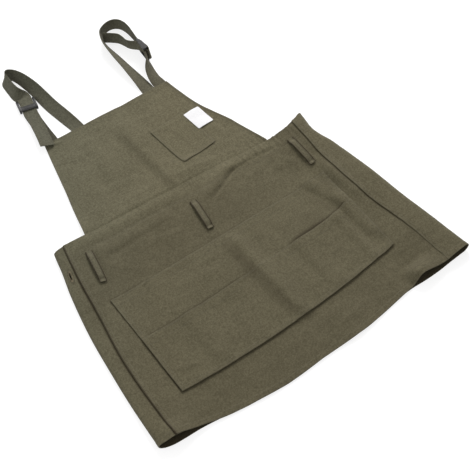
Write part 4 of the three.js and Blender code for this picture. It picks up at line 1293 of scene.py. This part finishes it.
# Materials
class Graph:
    """Short calls for making the nodes of one material."""

    def __init__(self, name):
        self.material = bpy.data.materials.new(name)
        self.material.use_nodes = True
        self.tree = self.material.node_tree
        self.shader = self.tree.nodes["Principled BSDF"]
        self.place = self.node("ShaderNodeTexCoord").outputs["Object"]

    def link(self, source, target):
        self.tree.links.new(source, target)

    def node(self, kind, inputs=None, **settings):
        made = self.tree.nodes.new(kind)
        for key, value in settings.items():
            setattr(made, key, value)
        for key, value in (inputs or {}).items():
            self.feed(made.inputs[key], value)
        return made

    def feed(self, socket, value):
        if isinstance(value, bpy.types.NodeSocket):
            self.link(value, socket)
        else:
            socket.default_value = value

    def finish(self, **values):
        """Sets or links inputs of the shader, named with _ for a space."""
        for key, value in values.items():
            self.feed(self.shader.inputs[key.replace("_", " ")], value)

    def math(self, operation, first, second=0.0, third=0.0):
        return self.node("ShaderNodeMath", {0: first, 1: second, 2: third}, operation=operation).outputs[0]

    def noise(self, vector, scale, detail=2.0, roughness=0.5):
        inputs = {"Vector": vector, "Scale": scale, "Detail": detail, "Roughness": roughness}
        return self.node("ShaderNodeTexNoise", inputs).outputs["Fac"]

    def vector(self, operation, first, second, output="Vector"):
        return self.node("ShaderNodeVectorMath", {0: first, 1: second}, operation=operation).outputs[output]

    def attribute(self, name):
        return self.node("ShaderNodeAttribute", attribute_name=name).outputs["Fac"]

    def blend(self, share, first, second, mode="MIX"):
        made = self.node("ShaderNodeMix", data_type="RGBA", blend_type=mode)
        self.feed(made.inputs["Factor"], share)
        self.feed(made.inputs[6], first)
        self.feed(made.inputs[7], second)
        return made.outputs[2]

    def bump(self, strength, distance, height):
        inputs = {"Strength": strength, "Distance": distance, "Height": height}
        return self.node("ShaderNodeBump", inputs).outputs["Normal"]


CLOTHS = {
    "olive_canvas": {
        "dark": (0.0865, 0.0765, 0.044, 1), "light": (0.1445, 0.129, 0.079, 1),
        "worn": (0.16, 0.148, 0.105, 1), "pitch": 0.85, "slub": 0.55, "bump": 0.5,
    },
    "olive_webbing": {
        "dark": (0.074, 0.067, 0.043, 1), "light": (0.124, 0.114, 0.076, 1),
        "worn": (0.15, 0.14, 0.1, 1), "pitch": 0.7, "slub": 0.5, "bump": 0.6,
    },
    "olive_loop_webbing": {
        "dark": (0.0865, 0.0765, 0.046, 1), "light": (0.1445, 0.129, 0.081, 1),
        "worn": (0.16, 0.148, 0.105, 1), "pitch": 0.7, "slub": 0.5, "bump": 0.6,
    },
    "white_label": {
        "dark": (0.73, 0.735, 0.765, 1), "light": (0.79, 0.795, 0.825, 1),
        "worn": (0.82, 0.82, 0.84, 1), "pitch": 0.4, "slub": 0.3, "bump": 0.25,
    },
}

# Faded patches, grain and fuzz: size per metre, detail and how much each changes the colour
UNEVEN_NOISES = ((14.0, 5.0, 0.7), (300.0, 2.0, 1.8), (150.0, 2.0, 1.1))
NOISE_ROUGHNESS = 0.6
YARN_THICK = 3.0
YARN_LONG = 16.0
YARN_DETAIL = 3.0
YARN_RELIEF = 0.9
PILLOW_POWER = 0.5
PILLOW_MIDDLE = 0.6
PILLOW_SHARE = 0.35
WEAVE_DEPTH = 0.0004
WORN_SHARE = 0.15
# Painted shade: how far the shade attribute darkens the colour, and the brown tint of the dark colour that it
# darkens towards
PAINTED_SHADE_SHARE = 0.95
PAINTED_SHADE_TINT = (0.3, 0.23, 0.15, 1)

# Painted cool light: the colour turns a greener olive towards the left of the bib, by places in metres
COOL_CAST_WAY = (-0.8, 0.6, 0.0)
COOL_CAST_START = 0.04
COOL_CAST_END = 0.36
COOL_CAST_TINT = (0.92, 0.985, 1.06, 1)


def weave_material(name):
    """Plain-woven cloth: threads over and under, uneven yarns, patches of uneven fading and worn edges, with
    shade painted in from the shade attribute and a painted cool cast of light at the left.
    """
    cloth = CLOTHS[name]
    g = Graph(name)
    weave = g.node("ShaderNodeUVMap", uv_map="weave").outputs["UV"]
    parts = g.node("ShaderNodeSeparateXYZ", {0: weave}).outputs
    turns = math.pi / (cloth["pitch"] * METRES)
    warp, weft = (g.math("SINE", g.math("MULTIPLY", parts[k], turns)) for k in range(2))
    pillow = g.math("POWER", g.math("ABSOLUTE", g.math("MULTIPLY", warp, weft)), PILLOW_POWER)
    thick, long = 1 / (YARN_THICK * METRES), 1 / (YARN_LONG * METRES)
    along_warp, along_weft = (
        g.noise(g.vector("MULTIPLY", weave, way), 1.0, YARN_DETAIL, NOISE_ROUGHNESS)
        for way in ((thick, long, 0), (long, thick, 0))
    )
    yarns = g.math("ADD", along_warp, along_weft)
    share = g.math("MULTIPLY_ADD", yarns, cloth["slub"], 0.5 - cloth["slub"])
    for scale, detail, amount in UNEVEN_NOISES:
        noise = g.noise(g.place, scale, detail, NOISE_ROUGHNESS)
        share = g.math("MULTIPLY_ADD", g.math("SUBTRACT", noise, 0.5), amount, share)
    share = g.math("MULTIPLY_ADD", g.math("SUBTRACT", pillow, PILLOW_MIDDLE), PILLOW_SHARE, share)
    colour = g.blend(share, cloth["dark"], cloth["light"])
    colour = g.blend(g.math("MULTIPLY", g.attribute("worn"), WORN_SHARE), colour, cloth["worn"])
    # The shade attribute paints shade into the colour: creases, lines beside edges and the insides of the
    # hems
    painted_shade_colour = tuple(value * tint for value, tint in zip(cloth["dark"], PAINTED_SHADE_TINT))
    colour = g.blend(g.math("MULTIPLY", g.attribute("shade"), PAINTED_SHADE_SHARE), colour, painted_shade_colour)
    # Tints the colour greener towards the left of the bib, as painted cool light
    towards = g.vector("DOT_PRODUCT", g.place, COOL_CAST_WAY, "Value")
    cool_cast = g.node("ShaderNodeMapRange", {"Value": towards, "From Min": COOL_CAST_START, "From Max": COOL_CAST_END})
    colour = g.blend(cool_cast.outputs["Result"], colour, COOL_CAST_TINT, "MULTIPLY")
    height = g.math("MULTIPLY_ADD", yarns, YARN_RELIEF, pillow)
    g.finish(
        Base_Color=colour, Roughness=0.92, Specular_IOR_Level=0.2, Sheen_Weight=0.06, Sheen_Roughness=0.6,
        Normal=g.bump(cloth["bump"], WEAVE_DEPTH, height),
    )
    return g.material


def thread_material(name, low, high):
    g = Graph(name)
    g.finish(Base_Color=g.blend(g.noise(g.place, 300.0), low, high), Roughness=0.8)
    return g.material


def plastic_material(name):
    """Satin black moulding with a fine spark grain and scuffed rises."""
    g = Graph(name)
    grain = g.noise(g.place, 2600.0)
    scuffs = g.noise(g.place, 160.0, 4.0, 0.65)
    g.finish(
        Base_Color=g.blend(scuffs, (0.006, 0.006, 0.007, 1), (0.015, 0.015, 0.016, 1)),
        Roughness=g.math("MULTIPLY_ADD", scuffs, 0.25, 0.3), Specular_IOR_Level=0.4,
        Normal=g.bump(0.15, 0.0001, grain),
    )
    return g.material


def floor_material(name):
    g = Graph(name)
    mottled = g.blend(g.noise(g.place, 1.5), (0.32, 0.32, 0.33, 1), (0.34, 0.34, 0.35, 1))
    g.finish(Base_Color=mottled, Roughness=0.9, Emission_Color=(1, 1, 1, 1), Emission_Strength=0.76)
    return g.material


canvas, webbing, loop_webbing, label_cloth = (weave_material(name) for name in CLOTHS)
thread = thread_material("olive_thread", (0.09, 0.082, 0.055, 1), (0.12, 0.11, 0.075, 1))
tan_thread = thread_material("tan_thread", (0.11, 0.08, 0.045, 1), (0.2, 0.15, 0.09, 1))
black_plastic = plastic_material("black_plastic")


# Each piece: its material and the solid that it stands for
def dress(piece, material, slot, *nodes):
    piece.data.materials.clear()
    piece.data.materials.append(material)
    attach(piece, "root")
    if nodes:
        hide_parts(*nodes)


canvas_pieces = {
    "bib": bib.object,
    "skirt_front": front.object,
    "side_panel_left": panels["left"]["object"],
    "side_panel_right": panels["right"]["object"],
    "pocket_upper": upper_pocket.object,
    "pocket_lower": lower_pocket.object,
    "breast_pocket": breast_pocket.object,
}
for node, piece in canvas_pieces.items():
    dress(piece, canvas, "canvas", node)
dress(label.object, label_cloth, "label", "label")
for name, loop in loops.items():
    dress(loop.object, loop_webbing, "webbing", name)
for name in BUCKLES:
    dress(straps[name].object, webbing, "webbing", f"strap_{name}")
    dress(tabs[name].object, webbing, "webbing", f"tab_{name}")
    dress(buckles[name], black_plastic, "buckle", f"buckle_{name}")
for key, piece in stitches.items():
    on_webbing = key in ("strap_left", "strap_right", "loops")
    dress(piece, tan_thread if key == "slit" else thread, "webbing" if on_webbing else "canvas")

# Floor, light and camera, in metres
FLOOR_HALF = 8.0
floor_mesh = bpy.data.meshes.new("floor")
floor_corners = [(-1, -1), (1, -1), (1, 1), (-1, 1)]
floor_mesh.from_pydata([(FLOOR_HALF * x, FLOOR_HALF * y, 0.0) for x, y in floor_corners], [], [(0, 1, 2, 3)])
floor_mesh.materials.append(floor_material("pale_floor"))
floor = bpy.data.objects.new("floor", floor_mesh)
bpy.context.scene.collection.objects.link(floor)

# Soft box of light all round, brighter overhead, a large lamp beyond the bib and a weak one at the left
SKY_LOW = 0.3
SKY_RISE = 0.46
SKY_COLOUR = (1.0, 0.985, 0.95, 1)
world = bpy.data.worlds.new("studio")
world.use_nodes = True
sky = world.node_tree
direction = sky.nodes.new("ShaderNodeTexCoord").outputs["Generated"]
split = sky.nodes.new("ShaderNodeSeparateXYZ")
sky.links.new(direction, split.inputs[0])
upward = sky.nodes.new("ShaderNodeMath")
upward.operation = "MULTIPLY_ADD"
upward.use_clamp = True
upward.inputs[1].default_value = SKY_RISE
upward.inputs[2].default_value = SKY_LOW
sky.links.new(split.outputs["Z"], upward.inputs[0])
sky.nodes["Background"].inputs["Color"].default_value = SKY_COLOUR
sky.links.new(upward.outputs[0], sky.nodes["Background"].inputs["Strength"])
bpy.context.scene.world = world

LAMPS = {
    "key": {"place": (1.9, 2.65, 2.3), "size": 1.5, "power": 152, "colour": (1.0, 0.98, 0.96)},
    "fill": {"place": (-2.2, 0.9, 1.2), "size": 1.6, "power": 14, "colour": (0.92, 0.98, 0.97)},
}


def place_towards(thing, place, target):
    """Puts a lamp or camera at a place, looking at a target."""
    thing.location = place
    thing.rotation_mode = "QUATERNION"
    thing.rotation_quaternion = (Vector(target) - Vector(place)).to_track_quat("-Z", "Y")
    bpy.context.scene.collection.objects.link(thing)


for name, facts in LAMPS.items():
    lamp_data = bpy.data.lights.new(name, "AREA")
    lamp_data.energy = facts["power"]
    lamp_data.size = facts["size"]
    lamp_data.color = facts["colour"]
    place_towards(bpy.data.objects.new(name, lamp_data), facts["place"], (0, 0, 0))

CAMERA_PLACE = (-0.87976, -1.39523, 2.09211)
CAMERA_TARGET = (0.01848, -0.17293, 0.0)
CAMERA_LENS = 89.88
CAMERA_SENSOR = 36
camera = bpy.data.objects.new("camera", bpy.data.cameras.new("camera"))
camera.data.lens = CAMERA_LENS
camera.data.sensor_width = CAMERA_SENSOR
place_towards(camera, CAMERA_PLACE, CAMERA_TARGET)
bpy.context.scene.camera = camera
bpy.context.scene.view_settings.view_transform = "Standard"
